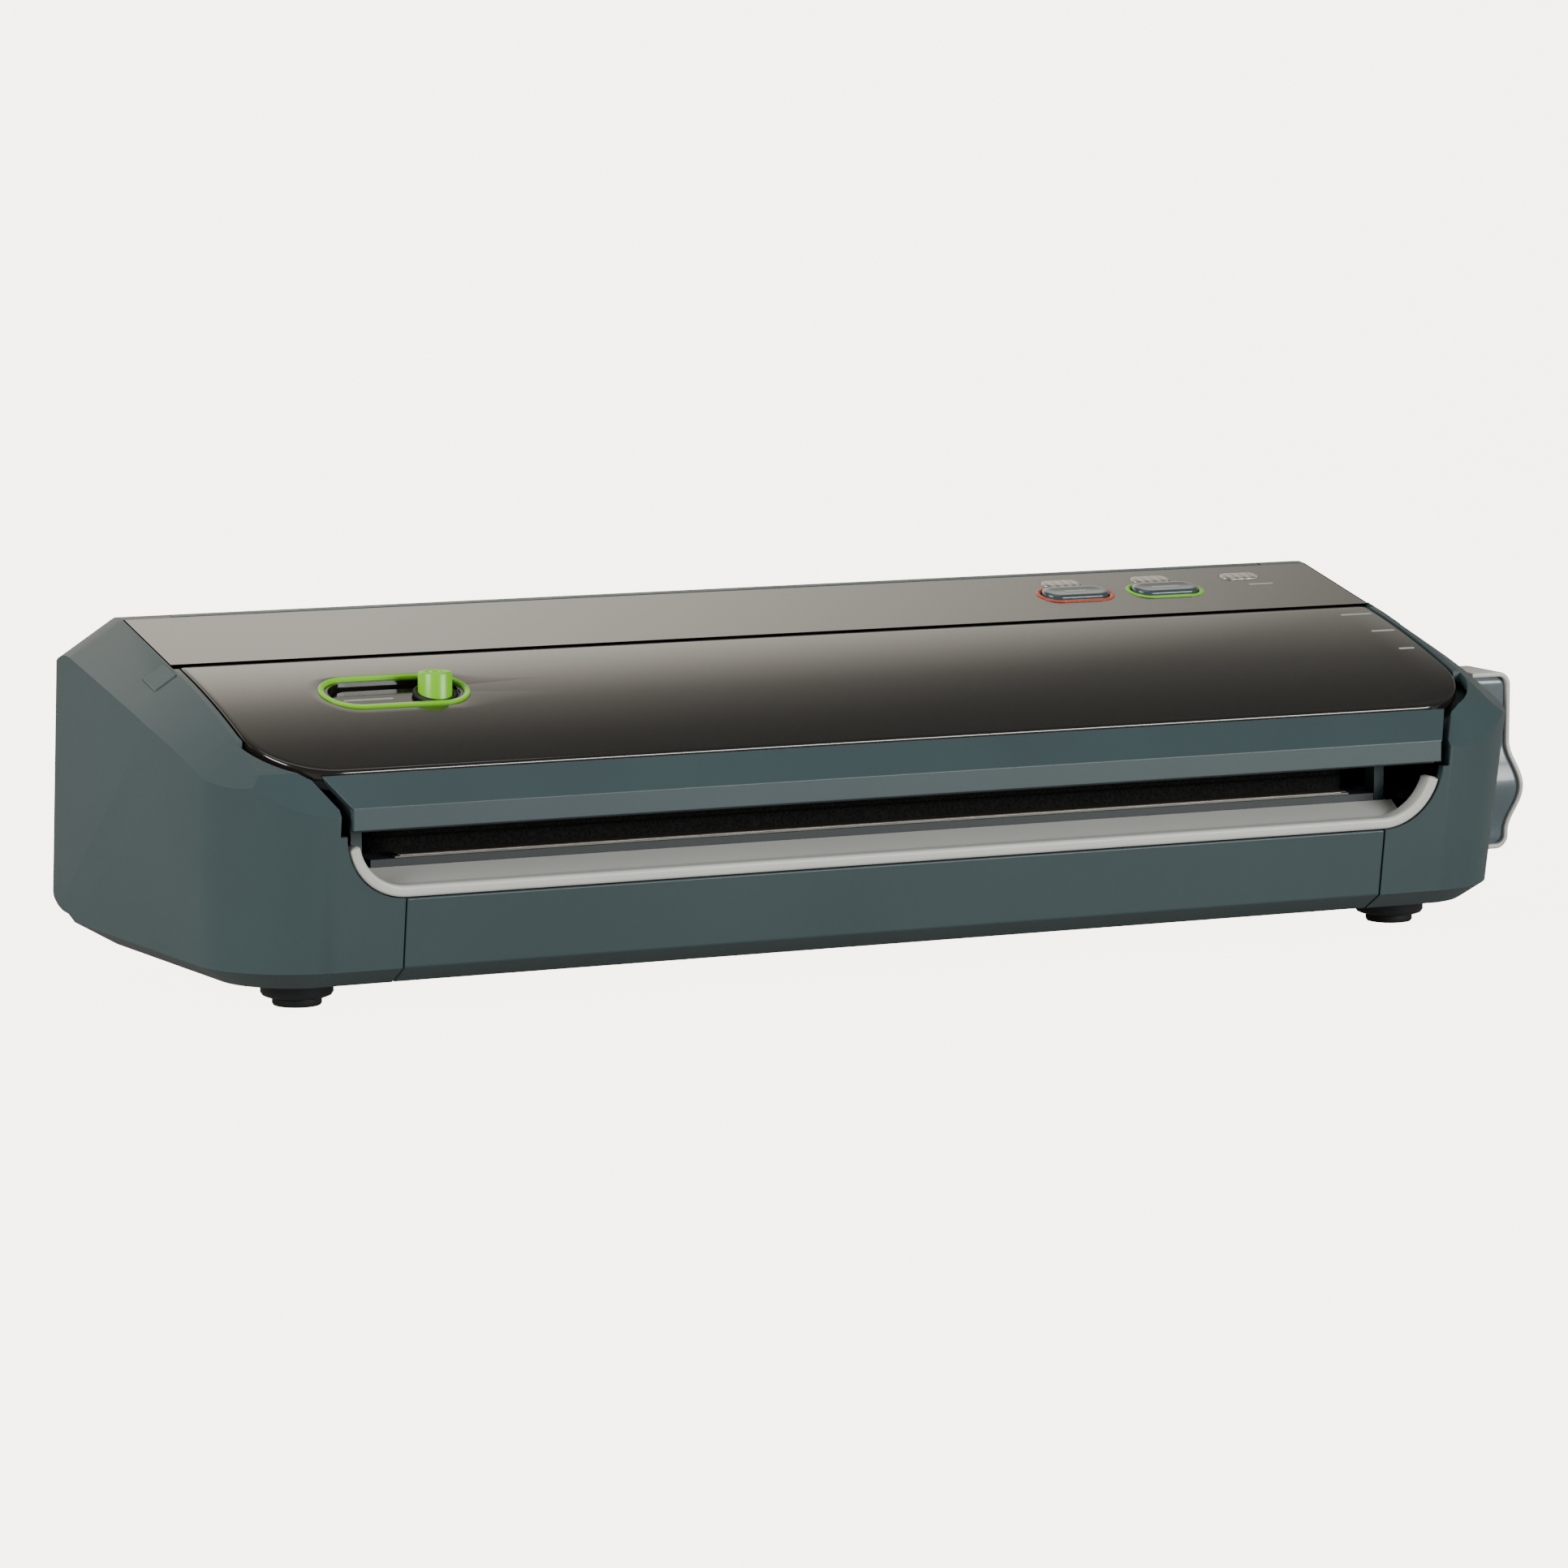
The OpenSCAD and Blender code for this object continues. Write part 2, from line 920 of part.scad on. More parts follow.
flap_side = [
    [lid_front - 0.2, brow_z - 2.6], [brow_y - 2.1, brow_z - 0.9],
    [crease_y - 0.3, crease_z + 1.9], [crease_y - 0.3, 48.7], [crease_y + 2.1, 48.7],
    [crease_y + 2.1, crease_z + 0.6], [lid_front - 0.2, brow_z - 5.2]
];

module front_flap() {
    color("#465658")
        intersection() {
            along_x(-far, far)
                polygon(flap_side);
            along_y(-far, far)
                mouth(3.2);
        }
}

frame_x = mx - 3.4;
frame_side = [
    [lid_front - 0.2, far], [lid_front - 0.2, brow_z - 5.2], [crease_y + 2.1, crease_z + 0.6],
    [crease_y + 2.1, 47.9], [yf + 50.4, 47.9], [hinge_y - 12, hinge_z - 12], [hinge_y - 2, hinge_z - 5],
    [seam_y, hinge_z], [seam_y, far]
];

module frame_inner() {
    polygon([
        [crease_y + 4.1, 49.9], [yf + 49, 49.9], [hinge_y - 13.6, hinge_z - 10.6],
        [hinge_y - 4, hinge_z - 4], [seam_y - 2, far], [lid_front + 2, far],
        [lid_front + 2, brow_z - 6], [crease_y + 4.1, crease_z - 0.6]
    ]);
}

module lid_frame() {
    color("#343c3e")
        difference() {
            union() {
                along_x(-frame_x, frame_x)
                    intersection() {
                        side(lid_t);
                        polygon(frame_side);
                    }
                intersection() {
                    rod_x(-lx + 1, lx - 1, hinge_y, hinge_z, nose_r - 0.3);
                    union() {
                        along_x(-far, far)
                            side(lid_t);
                        box([-far, seam_y, 0], [far, far, far]);
                    }
                }
                // flange under the cover's edge
                intersection() {
                    layer_part(lid_t, lid_t + 1.8, -far, far, lid_front + 1.5, seam_y);
                    linear_extrude(far)
                        lid_plan(-1.2);
                }
            }
            along_x(-frame_x + 2.2, frame_x - 2.2)
                intersection() {
                    side(lid_t + 1.8);
                    frame_inner();
                }
            rod_x(lx - 14, far, hinge_y, hinge_z, pin_r);
            rod_x(-far, -lx + 14, hinge_y, hinge_z, pin_r);
            on_lid(port_x, port_y)
                translate([0, 0, -9])
                    linear_extrude(40)
                        stadium(port_l - 2, port_w - 2);
            translate([nozzle_x, port_y - 9, 40])
                cylinder(h = 12, r = nozzle_bore, $fn = 48);
        }
}

module upper_gasket() {
    color("#1d1d1c")
        gasket(43.1, 47.9);
}

module pressure_strip() {
    color("#3b3b39")
        box([-bar_x, bar_y[0] - 0.4, 45.6], [bar_x, bar_y[1] + 0.4, 47.9]);
}

module port_ring() {
    color("#82c832")
        on_lid(port_x, port_y)
            translate([0, 0, 0.3 - lid_t])
                linear_extrude(lid_t + 0.2)
                    difference() {
                        stadium(port_l, port_w);
                        stadium(port_l - 3, port_w - 3);
                    }
}

module port_cup() {
    color("#23221f")
        on_lid(port_x, port_y)
            difference() {
                union() {
                    translate([0, 0, -8])
                        linear_extrude(7.6)
                            stadium(port_l - 3, port_w - 3);
                }
                translate([0, 0, -4.6])
                    linear_extrude(10)
                        difference() {
                            stadium(port_l - 5, port_w - 5);
                            stadium(port_l - 8, port_w - 8);
                        }
                translate([0, 0, -2.2])
                    linear_extrude(10)
                        stadium(port_l - 5, port_w - 5);
                translate([nozzle_x - port_x, 0, 0])
                    rotate([-lid_tilt, 0, 0])
                        translate([0, 0, -20])
                            cylinder(h = 40, r = nozzle_r);
            }
}

nozzle_z0 = port_z - 11;
nozzle_z1 = port_z + 4.6;
nozzle_r = 4.5;

module port_nozzle() {
    color("#82c832")
        translate([nozzle_x, port_y, 0])
            difference() {
                translate([0, 0, nozzle_z0])
                    cylinder(h = nozzle_z1 - nozzle_z0, r = nozzle_r);
                translate([0, 0, nozzle_z0 + 3])
                    cylinder(h = far, r = nozzle_bore);
                translate([0, 0, nozzle_z0 - 1])
                    cylinder(h = far, r = nozzle_bore - 0.9);
            }
}

module nozzle_seal() {
    color("#17181a")
        difference() {
            on_lid(port_x, port_y)
                translate([nozzle_x - port_x, -0.4, -2.2])
                    cylinder(h = 1.6, r = 6);
            translate([nozzle_x, port_y, 0])
                cylinder(h = far, r = nozzle_r);
        }
}

module port_duct() {
    color("#9aa09c")
        difference() {
            hull() {
                translate([nozzle_x, port_y, nozzle_z0 - 1])
                    cylinder(h = 1, r = 3.8, $fn = 32);
                translate([nozzle_x, port_y - 9, 49.9])
                    cylinder(h = 1, r = 3.8, $fn = 32);
            }
            hull() {
                translate([nozzle_x, port_y, nozzle_z0 - 1])
                    cylinder(h = 2, r = 2.4, $fn = 32);
                translate([nozzle_x, port_y - 9, 48.9])
                    cylinder(h = 2, r = 2.4, $fn = 32);
            }
        }
}

module hinge_pins() {
    color("#b4b8ba")
        for (s = [0, 1])
            mirror([s, 0, 0])
                rod_x(lx - 13, lx + 5, hinge_y, hinge_z, pin_r);
}

hook_y = yf + 18.6 + throw;

module latch_posts() {
    color("#465658")
        for (s = [-1, 1])
            difference() {
                box([s * post_x - 1.5, yf + 13.4, 32], [s * post_x + 1.5, yf + 18.4, 47.9]);
                box([s * post_x - 9, yf + 15.6, 33.2], [s * post_x + 9, yf + 30, 36.5]);
            }
}

// ---- lever and latch ----

module lever_bar(x0, x1, cut) {
    box(
        [x0, shaft_y - lever_w / 2, shaft_z - lever_down + cut],
        [x1, shaft_y + lever_w / 2, shaft_z + lever_up - cut]
    );
    rod_x(x0, x1, shaft_y, shaft_z, hub_r);
}

module hub_cap(x0, r0, x1, r1) {
    translate([x0, shaft_y, shaft_z])
        rotate([0, 90, 0])
            cylinder(h = x1 - x0, r1 = r0, r2 = r1);
}

module lever_core() {
    color("#5a6366")
        difference() {
            union() {
                lever_bar(lever_x0, lever_x1 - rim_t, rim_t);
                hub_cap(lever_x1 - rim_t, hub_r - 1.6, hub_x1 - rim_t, hub_r - 5);
            }
            rod_x(0, lever_x0 + 5, shaft_y, shaft_z, shaft_r);
        }
}

module lever_rim() {
    color("#d7d7d0")
        difference() {
            union() {
                lever_bar(lever_x0 + 0.6, lever_x1, 0);
                hub_cap(lever_x1 - 0.5, hub_r - 0.2, hub_x1, hub_r - 3.6);
            }
            lever_bar(0, lever_x1 - rim_t, rim_t);
            hub_cap(lever_x1 - rim_t - 0.01, hub_r - 1.6, hub_x1 - rim_t, hub_r - 5);
        }
}

module lever_shaft() {
    color("#a6aaac") {
        rod_x(crank_x, lever_x0 + 5, shaft_y, shaft_z, shaft_r);
        box([crank_x, shaft_y - 2, shaft_z - crank - 1.6], [crank_x + 2.4, shaft_y + 2, shaft_z]);
        rod_x(crank_x + 2, crank_x + 6, shaft_y, shaft_z - crank, 1.6);
        rod_x(hw - 17, hw - 14.3, shaft_y, shaft_z, shaft_r + 2);
    }
}

module latch_bar() {
    color("#8e9496") {
        box([-post_x - 2.5, shaft_y + 2.6, bar_z], [post_x + 2.5, shaft_y + 9.6, bar_z + 2.4]);
        for (s = [-1, 1]) {
            box([s * post_x - 2, hook_y, bar_z], [s * post_x + 2, shaft_y + 4, bar_z + 2.4]);
            box([s * post_x - 2, hook_y, bar_z], [s * post_x + 2, hook_y + 2.5, 36.1]);
            box([s * post_x - 1.4, yf + 18.9, 33.6], [s * post_x + 1.4, hook_y + 1, 36.1]);
        }
        box([crank_x + 3, shaft_y - 3.6, bar_z], [crank_x + 5.5, shaft_y + 4, bar_z + 2.4]);
        box([crank_x + 3, shaft_y - 3.6, 23], [crank_x + 5.5, shaft_y - 1.95, 28.5]);
        box([crank_x + 3, shaft_y + 1.95, 23], [crank_x + 5.5, shaft_y + 3.6, 28.5]);
    }
}

base_pan();
left_cheek();
right_cheek();
front_panel();
rear_cover();
control_panel();
seal_ring();
vac_ring();
indicator_lenses();
control_board();
tact_switches();
indicator_lamps();
deck();
tray();
trough();
lower_gasket();
heat_bar();
heat_strip();
release_tape();
pump_motor();
pump_head();
motor_bracket();
vacuum_hose();
transformer_core();
transformer_coil();
power_board();
foot_flanges();
rubber_feet();
pin_plugs();
base_screws();
cord_gland();
lid_cover();
front_flap();
lid_frame();
upper_gasket();
pressure_strip();
port_ring();
port_cup();
port_nozzle();
nozzle_seal();
port_duct();
hinge_pins();
latch_posts();
lever_core();
lever_rim();
lever_shaft();
latch_bar();
seal_button();
vac_button();
pump_rotor();
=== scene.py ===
import math

import bmesh
import bpy
import numpy as np
from mathutils import Matrix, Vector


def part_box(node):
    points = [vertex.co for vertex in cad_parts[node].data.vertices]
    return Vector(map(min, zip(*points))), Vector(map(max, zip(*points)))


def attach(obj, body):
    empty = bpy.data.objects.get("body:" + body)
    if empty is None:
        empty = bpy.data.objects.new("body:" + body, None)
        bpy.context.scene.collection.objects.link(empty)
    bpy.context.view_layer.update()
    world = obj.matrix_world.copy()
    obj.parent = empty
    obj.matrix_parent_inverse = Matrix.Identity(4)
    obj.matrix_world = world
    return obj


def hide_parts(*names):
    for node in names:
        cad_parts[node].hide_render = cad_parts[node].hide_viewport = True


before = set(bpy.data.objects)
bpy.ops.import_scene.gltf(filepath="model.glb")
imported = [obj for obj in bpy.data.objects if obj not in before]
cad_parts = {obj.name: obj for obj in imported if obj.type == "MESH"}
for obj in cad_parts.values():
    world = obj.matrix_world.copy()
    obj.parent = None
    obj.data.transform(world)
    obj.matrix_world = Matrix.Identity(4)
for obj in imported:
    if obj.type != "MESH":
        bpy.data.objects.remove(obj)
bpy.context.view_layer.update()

# Visual model of a counter-top vacuum sealer, in metres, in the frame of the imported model:
# +X to the right of someone facing the mouth, +Y to the rear, +Z up, z = 0 on the table.

MM = 0.001

# Driving sizes: boxes from the frame, and the CAD's own values where a box doesn't give them.
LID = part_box("lid_cover")
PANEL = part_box("control_panel")
FRONT_WALL_FOOT = -61.4 * MM
FRONT_WALL_FOOT_Z = 12 * MM
FRONT_WALL_LEAN = 0.14
LID_BEND_Z = 63 * MM
LID_BOW = 1.7 * MM
LID_CORNER = 20 * MM
LID_SKIN = 2.5 * MM
PANEL_TILT = math.radians(13)
SEAM_Y = LID[1][1]
SEAM_Z = LID[1][2]
BEND_Y = FRONT_WALL_FOOT + 3.9 * MM


# ---------------------------------------------------------------- mesh helpers

def grid_faces(rows, cols, close_rows=False, close_cols=True):
    """Quads of a rows x cols grid of points, each joined to its neighbours in both directions."""
    r = np.arange(rows if close_rows else rows - 1)
    c = np.arange(cols if close_cols else cols - 1)
    r, c = np.meshgrid(r, c, indexing="ij")
    r2, c2 = (r + 1) % rows, (c + 1) % cols
    quads = np.stack([r * cols + c, r * cols + c2, r2 * cols + c2, r2 * cols + c], axis=-1)
    return quads.reshape(-1, 4)


def recalc_outward(mesh):
    """Merges doubled points and turns every face outwards."""
    work = bmesh.new()
    work.from_mesh(mesh)
    bmesh.ops.remove_doubles(work, verts=work.verts, dist=1e-7)
    bmesh.ops.recalc_face_normals(work, faces=work.faces)
    work.to_mesh(mesh)
    work.free()


def linked(name, data):
    """A new object with this data, in the scene."""
    made = bpy.data.objects.new(name, data)
    bpy.context.scene.collection.objects.link(made)
    return made


def add_piece(name, points, faces, body, material, replaces=(), slot=None, smooth_angle=40):
    """A closed mesh as an object at the origin, riding on a body, shaded smooth up to an angle."""
    mesh = bpy.data.meshes.new(name)
    mesh.from_pydata(np.asarray(points).tolist(), [], [list(map(int, f)) for f in faces])
    recalc_outward(mesh)
    mesh.materials.append(material)
    piece = linked(name, mesh)
    smooth(piece, smooth_angle)
    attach(piece, body)
    if replaces:
        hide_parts(*replaces)
    return piece


def smooth(piece, angle):
    """Smooth shading, with edges sharper than the angle kept crisp."""
    mesh = piece.data
    mesh.shade_smooth()
    mesh.set_sharp_from_angle(angle=math.radians(angle))


def joined(name, parts, body, material, **more):
    """Several (rings, hoop) lofts as separate closed shells in one piece. Rings of equal point
    counts are skinned in order: a hoop's last ring joins its first, and any other loft is closed
    by a fan about each end ring's centre."""
    points, faces = [], []
    base = 0
    for rings, hoop in parts:
        rings = np.asarray(rings, dtype=float)
        count, around = rings.shape[:2]
        shell = rings.reshape(-1, 3)
        faces += (grid_faces(count, around, close_rows=hoop) + base).tolist()
        if not hoop:
            shell = np.vstack([shell, rings[0].mean(axis=0), rings[-1].mean(axis=0)])
            low = np.full(around, base + count * around)
            first = base + np.arange(around)
            after = base + (np.arange(around) + 1) % around
            last = (count - 1) * around
            faces += np.stack([after, first, low], axis=-1).tolist()
            faces += np.stack([last + first, last + after, low + 1], axis=-1).tolist()
        points.append(shell)
        base += len(shell)
    return add_piece(name, np.vstack(points), faces, body, material, **more)


def loft(name, rings, body, material, closed_section=False, **more):
    """One loft as a piece; closed_section makes it a hoop."""
    return joined(name, [(rings, closed_section)], body, material, **more)


def stadium(length, width, inset, count=96):
    """Two half circles joined by straights: angle gives the half circle's point, and the sign of
    its cosine says which end's centre it is measured from."""
    angle = (np.arange(count) + 0.5) / count * 2 * math.pi
    radius = width / 2 - inset
    half = (length - width) / 2
    x = np.sign(np.cos(angle)) * half + radius * np.cos(angle)
    return np.stack([x, radius * np.sin(angle)], axis=-1)


def placed(flat, height, centre, tilt):
    """Flat XY points at a height along the normal of a plane tilted about X, moved to centre."""
    y = flat[:, 1] * math.cos(tilt) - height * math.sin(tilt)
    z = flat[:, 1] * math.sin(tilt) + height * math.cos(tilt)
    return np.stack([flat[:, 0] + centre[0], y + centre[1], z + centre[2]], axis=-1)


def stadium_stack(name, length, width, section, centre, tilt, body, material, hoop=False, **more):
    """Stadium rings for each (inset, height) of a section, skinned into a button or a hoop."""
    rings = [placed(stadium(length, width, i), h, centre, tilt) for i, h in section]
    return loft(name, rings, body, material, closed_section=hoop, **more)


def revolve_rings(section, centre, tilt=0.0, count=72):
    """Circles for each (radius, height) of a section about the local normal through centre."""
    angle = np.arange(count) / count * 2 * math.pi
    circle = np.stack([np.cos(angle), np.sin(angle)], axis=-1)
    return [placed(circle * r, h, centre, tilt) for r, h in section]


def rounded_corner(centre, radius, start, stop, steps=6):
    """Points of an arc from start to stop degrees, as (first, second) pairs."""
    angle = np.radians(np.linspace(start, stop, steps + 1))
    return [(centre[0] + radius * math.cos(a), centre[1] + radius * math.sin(a)) for a in angle]


def rounded_section(low, high, radius, steps=6):
    """A rectangle from low to high with quarter-circle corners, anticlockwise as an array."""
    (x0, y0), (x1, y1) = np.add(low, radius), np.subtract(high, radius)
    return np.array(rounded_corner((x1, y0), radius, -90, 0, steps)
                    + rounded_corner((x1, y1), radius, 0, 90, steps)
                    + rounded_corner((x0, y1), radius, 90, 180, steps)
                    + rounded_corner((x0, y0), radius, 180, 270, steps))


def swept_rings(path, section, depth):
    """A section carried along a path in the XZ plane: its first value goes along the path's
    normal, and depth gives the Y of each point."""
    tangent = np.gradient(path, axis=0)
    tangent /= np.linalg.norm(tangent, axis=1)[:, None]
    normal = np.stack([-tangent[:, 1], tangent[:, 0]], axis=-1)
    flat = path[:, None] + normal[:, None] * section[None, :, :1]
    return np.stack([flat[:, :, 0], depth, flat[:, :, 1]], axis=-1)


# Faces closer in angle than FLAT_ANGLE are one flat; edges sharper than EDGE_ANGLE are rounded.
FLAT_ANGLE = math.radians(0.8)
EDGE_ANGLE = math.radians(24)
WELD = 0.002 * MM


def moulded(node, name, body, material, radius, big_edge=None, big=1.0, segments=3):
    """A CAD solid's faces merged into flats, with its edges rounded as a moulding's are.
    big_edge(middle) picks the edges that get big times the radius."""
    work = bmesh.new()
    work.from_mesh(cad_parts[node].data)
    bmesh.ops.remove_doubles(work, verts=work.verts, dist=WELD)
    bmesh.ops.dissolve_limit(work, angle_limit=FLAT_ANGLE, verts=work.verts, edges=work.edges)
    bmesh.ops.dissolve_degenerate(work, dist=WELD, edges=work.edges)
    weight = work.edges.layers.float.new("bevel_weight_edge")
    for edge in work.edges:
        if len(edge.link_faces) != 2 or edge.calc_face_angle(0.0) < EDGE_ANGLE:
            continue
        middle = (edge.verts[0].co + edge.verts[1].co) / 2
        edge[weight] = 1.0 if big_edge and big_edge(middle) else 1.0 / big
    mesh = bpy.data.meshes.new(name)
    work.to_mesh(mesh)
    work.free()
    mesh.materials.clear()
    mesh.materials.append(material)
    piece = linked(name, mesh)
    smooth(piece, 30)
    bevel = piece.modifiers.new("edge rounding", "BEVEL")
    bevel.limit_method = "WEIGHT"
    bevel.width = radius * big
    bevel.segments = segments
    bevel.harden_normals = True
    bevel.use_clamp_overlap = True
    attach(piece, body)
    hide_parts(node)
    return piece


# ---------------------------------------------------------------- materials

def linear(hex_colour):
    """sRGB hex to linear RGBA."""
    value = np.array([int(hex_colour[i : i + 2], 16) for i in (1, 3, 5)]) / 255
    low, high = value / 12.92, ((value + 0.055) / 1.055) ** 2.4
    return (*np.where(value <= 0.04045, low, high).tolist(), 1.0)


def node(tree, kind, links=None, **settings):
    """Adds one node. Settings are attributes, or socket values where a name ends in _in;
    links map this node's input names to other nodes' outputs."""
    made = tree.nodes.new(kind)
    for key, value in settings.items():
        if key.endswith("_in"):
            made.inputs[key[:-3].replace("_", " ")].default_value = value
        else:
            setattr(made, key, value)
    for socket, source in (links or {}).items():
        tree.links.new(source, made.inputs[socket])
    return made


def new_material(name):
    """A material with no nodes yet, and its node tree."""
    material = bpy.data.materials.new(name)
    material.use_nodes = True
    material.node_tree.nodes.clear()
    return material, material.node_tree


def finished(material, shader):
    """The material, with this shader on its surface."""
    node(material.node_tree, "ShaderNodeOutputMaterial", {"Surface": shader.outputs["BSDF"]})
    return material


def plastic(name, colour, roughness, grain_mm, bump, mottle=0.04, coat=0.0, ior=1.5):
    """Moulded plastic: a spark-eroded grain as bump, a slow change of tone, and softer gloss
    where the grain is deeper."""
    material, tree = new_material(name)
    place = node(tree, "ShaderNodeTexCoord")
    grain = node(tree, "ShaderNodeTexNoise", {"Vector": place.outputs["Object"]},
                 Scale_in=1 / (grain_mm * MM), Detail_in=3.0, Roughness_in=0.6)
    tone = node(tree, "ShaderNodeTexNoise", {"Vector": place.outputs["Object"]},
                Scale_in=28.0, Detail_in=4.0)
    base = np.array(linear(colour))
    ramp = node(tree, "ShaderNodeValToRGB", {"Fac": tone.outputs["Fac"]})
    ramp.color_ramp.elements[0].position = 0.3
    ramp.color_ramp.elements[1].position = 0.7
    ramp.color_ramp.elements[0].color = (*(base[:3] * (1 - mottle)), 1)
    ramp.color_ramp.elements[1].color = (*(base[:3] * (1 + mottle)), 1)
    rough = node(tree, "ShaderNodeMapRange", {"Value": grain.outputs["Fac"]},
                 To_Min_in=roughness * 0.9, To_Max_in=min(1.0, roughness * 1.12))
    height = node(tree, "ShaderNodeBump", {"Height": grain.outputs["Fac"]},
                  Strength_in=bump, Distance_in=0.05 * MM)
    shader = node(tree, "ShaderNodeBsdfPrincipled", {
        "Base Color": ramp.outputs["Color"], "Roughness": rough.outputs["Result"],
        "Normal": height.outputs["Normal"]}, IOR_in=ior, Coat_Weight_in=coat,
        Coat_Roughness_in=0.06)
    return finished(material, shader)


def metal(name, colour, roughness, brush_mm, along="X"):
    """Drawn or brushed metal: noise stretched along one axis, as fine lines in the gloss."""
    material, tree = new_material(name)
    place = node(tree, "ShaderNodeTexCoord")
    stretch = node(tree, "ShaderNodeMapping", {"Vector": place.outputs["Object"]})
    stretch.inputs["Scale"].default_value = [0.03 if a == along else 1.0 for a in "XYZ"]
    lines = node(tree, "ShaderNodeTexNoise", {"Vector": stretch.outputs["Vector"]},
                 Scale_in=1 / (brush_mm * MM), Detail_in=2.0)
    rough = node(tree, "ShaderNodeMapRange", {"Value": lines.outputs["Fac"]},
                 To_Min_in=roughness * 0.75, To_Max_in=roughness * 1.3)
    height = node(tree, "ShaderNodeBump", {"Height": lines.outputs["Fac"]},
                  Strength_in=0.15, Distance_in=0.02 * MM)
    shader = node(tree, "ShaderNodeBsdfPrincipled", {
        "Roughness": rough.outputs["Result"], "Normal": height.outputs["Normal"]},
        Base_Color_in=linear(colour), Metallic_in=1.0)
    return finished(material, shader)


def foam(name, colour, cell_mm):
    """Closed-cell foam: rounded cells as deep bump, with painted shade in the hollows, almost no
    gloss.
    """
    material, tree = new_material(name)
    place = node(tree, "ShaderNodeTexCoord")
    cells = node(tree, "ShaderNodeTexVoronoi", {"Vector": place.outputs["Object"]},
                 Scale_in=1 / (cell_mm * MM))
    base = np.array(linear(colour))
    # Painted shade: the hollows at the cells' centres are darkened, and the rims between them are
    # painted lighter.
    ramp = node(tree, "ShaderNodeValToRGB", {"Fac": cells.outputs["Distance"]})
    ramp.color_ramp.elements[0].color = (*(base[:3] * 0.35), 1)
    ramp.color_ramp.elements[1].color = (*(base[:3] * 1.6), 1)
    height = node(tree, "ShaderNodeBump", {"Height": cells.outputs["Distance"]},
                  Strength_in=0.8, Distance_in=0.3 * MM)
    shader = node(tree, "ShaderNodeBsdfPrincipled", {
        "Base Color": ramp.outputs["Color"], "Normal": height.outputs["Normal"]},
        Roughness_in=0.9, Specular_IOR_Level_in=0.2)
    return finished(material, shader)


def clear_plastic(name, colour, roughness):
    """Clear moulded acrylic with faint diffusing ribs, so that a lamp behind it reads as cells;
    painted shade darkens the grooves between the ribs.
    """
    material, tree = new_material(name)
    place = node(tree, "ShaderNodeTexCoord")
    ribs = node(tree, "ShaderNodeTexWave", {"Vector": place.outputs["Object"]},
                Scale_in=120.0, Distortion_in=0.0)
    height = node(tree, "ShaderNodeBump", {"Height": ribs.outputs["Fac"]},
                  Strength_in=0.4, Distance_in=0.2 * MM)
    base = np.array(linear(colour))
    # Painted shade: the colour falls to four tenths of the base in the ribs' grooves.
    ramp = node(tree, "ShaderNodeValToRGB", {"Fac": ribs.outputs["Fac"]})
    ramp.color_ramp.elements[0].color = (*(base[:3] * 0.4), 1)
    ramp.color_ramp.elements[1].color = (*base[:3], 1)
    shader = node(tree, "ShaderNodeBsdfPrincipled", {
        "Base Color": ramp.outputs["Color"], "Normal": height.outputs["Normal"]},
        Roughness_in=roughness, IOR_in=1.49, Transmission_Weight_in=0.3, Coat_Weight_in=1.0,
        Coat_Roughness_in=0.04)
    return finished(material, shader)


# Spark-textured ABS: a soft satin that shows form without a mirror image.
SLATE = plastic("slate_abs_spark_texture", "#3c4c4e", 0.4, 0.55, 0.18)
# The same ABS in black, on what is meant to go unseen.
DARK_ABS = plastic("charcoal_abs_moulded", "#2b3335", 0.5, 0.6, 0.2)
# Smoked acrylic skin: black-brown with a polished coat, which carries the room's gradient.
SMOKED = plastic("smoked_acrylic_polished", "#1b1813", 0.14, 6.0, 0.004, 0.01, 0.6, 1.52)
# Pale grey ABS of the tray and the lever's trim: light, with a soft sheen.
PALE = plastic("pale_grey_abs_satin", "#cfcfc8", 0.34, 0.5, 0.12, 0.02)
# Metallic slate paint over ABS on the push buttons: glossy, with a fine sparkle in its tone.
KEY_PAINT = plastic("slate_metallic_lacquer", "#35464b", 0.22, 0.35, 0.05, 0.08, 0.8)
# Grey lacquered ABS of the lever's core: semi-gloss, with long soft highlights.
LEVER_GREY = plastic("grey_lacquered_abs", "#59656a", 0.26, 0.6, 0.05, 0.03, 0.3)
# Green polypropylene: bright and slightly waxy.
GREEN = plastic("green_polypropylene", "#7fd01c", 0.3, 0.5, 0.06, 0.03)
# Red-orange polypropylene: warm, with the same waxy sheen as the green.
RED = plastic("red_orange_polypropylene", "#c4502f", 0.32, 0.5, 0.06, 0.03)
# Black nitrile rubber: dull, with a faint bloom.
RUBBER = plastic("black_nitrile_rubber", "#141516", 0.62, 0.4, 0.25, 0.1)
# Closed-cell neoprene foam: matt black, pitted all over, with painted shade in the pits.
FOAM = foam("neoprene_foam_closed_cell", "#1b1b1a", 0.9)
# Clear diffusing acrylic of the indicator lenses: ivory ribs with painted shade in their grooves,
# under a polished skin.
LENS = clear_plastic("clear_acrylic_diffuser", "#c9c3ae", 0.18)
# Printed marks: pale ink, matt against the gloss around it.
INK = plastic("pale_pad_print_ink", "#a9aaa4", 0.55, 0.3, 0.05)
# Bare drawn sheet steel: grey, with fine lines in a broad sheen.
STEEL = metal("drawn_sheet_steel", "#9ea3a5", 0.34, 0.25)
# Nickel-chrome heating ribbon: brighter and smoother than the steel.
RIBBON = metal("nickel_chrome_ribbon", "#b9b6b0", 0.28, 0.15)
# Enamelled copper winding: orange-brown, lined by the turns of wire.
WINDING = metal("enamelled_copper_wire", "#b4622f", 0.35, 0.35, "Z")
# Laminated transformer iron: dull grey, lined by the edges of the sheets.
IRON = metal("laminated_silicon_steel", "#77726b", 0.5, 0.4, "Y")
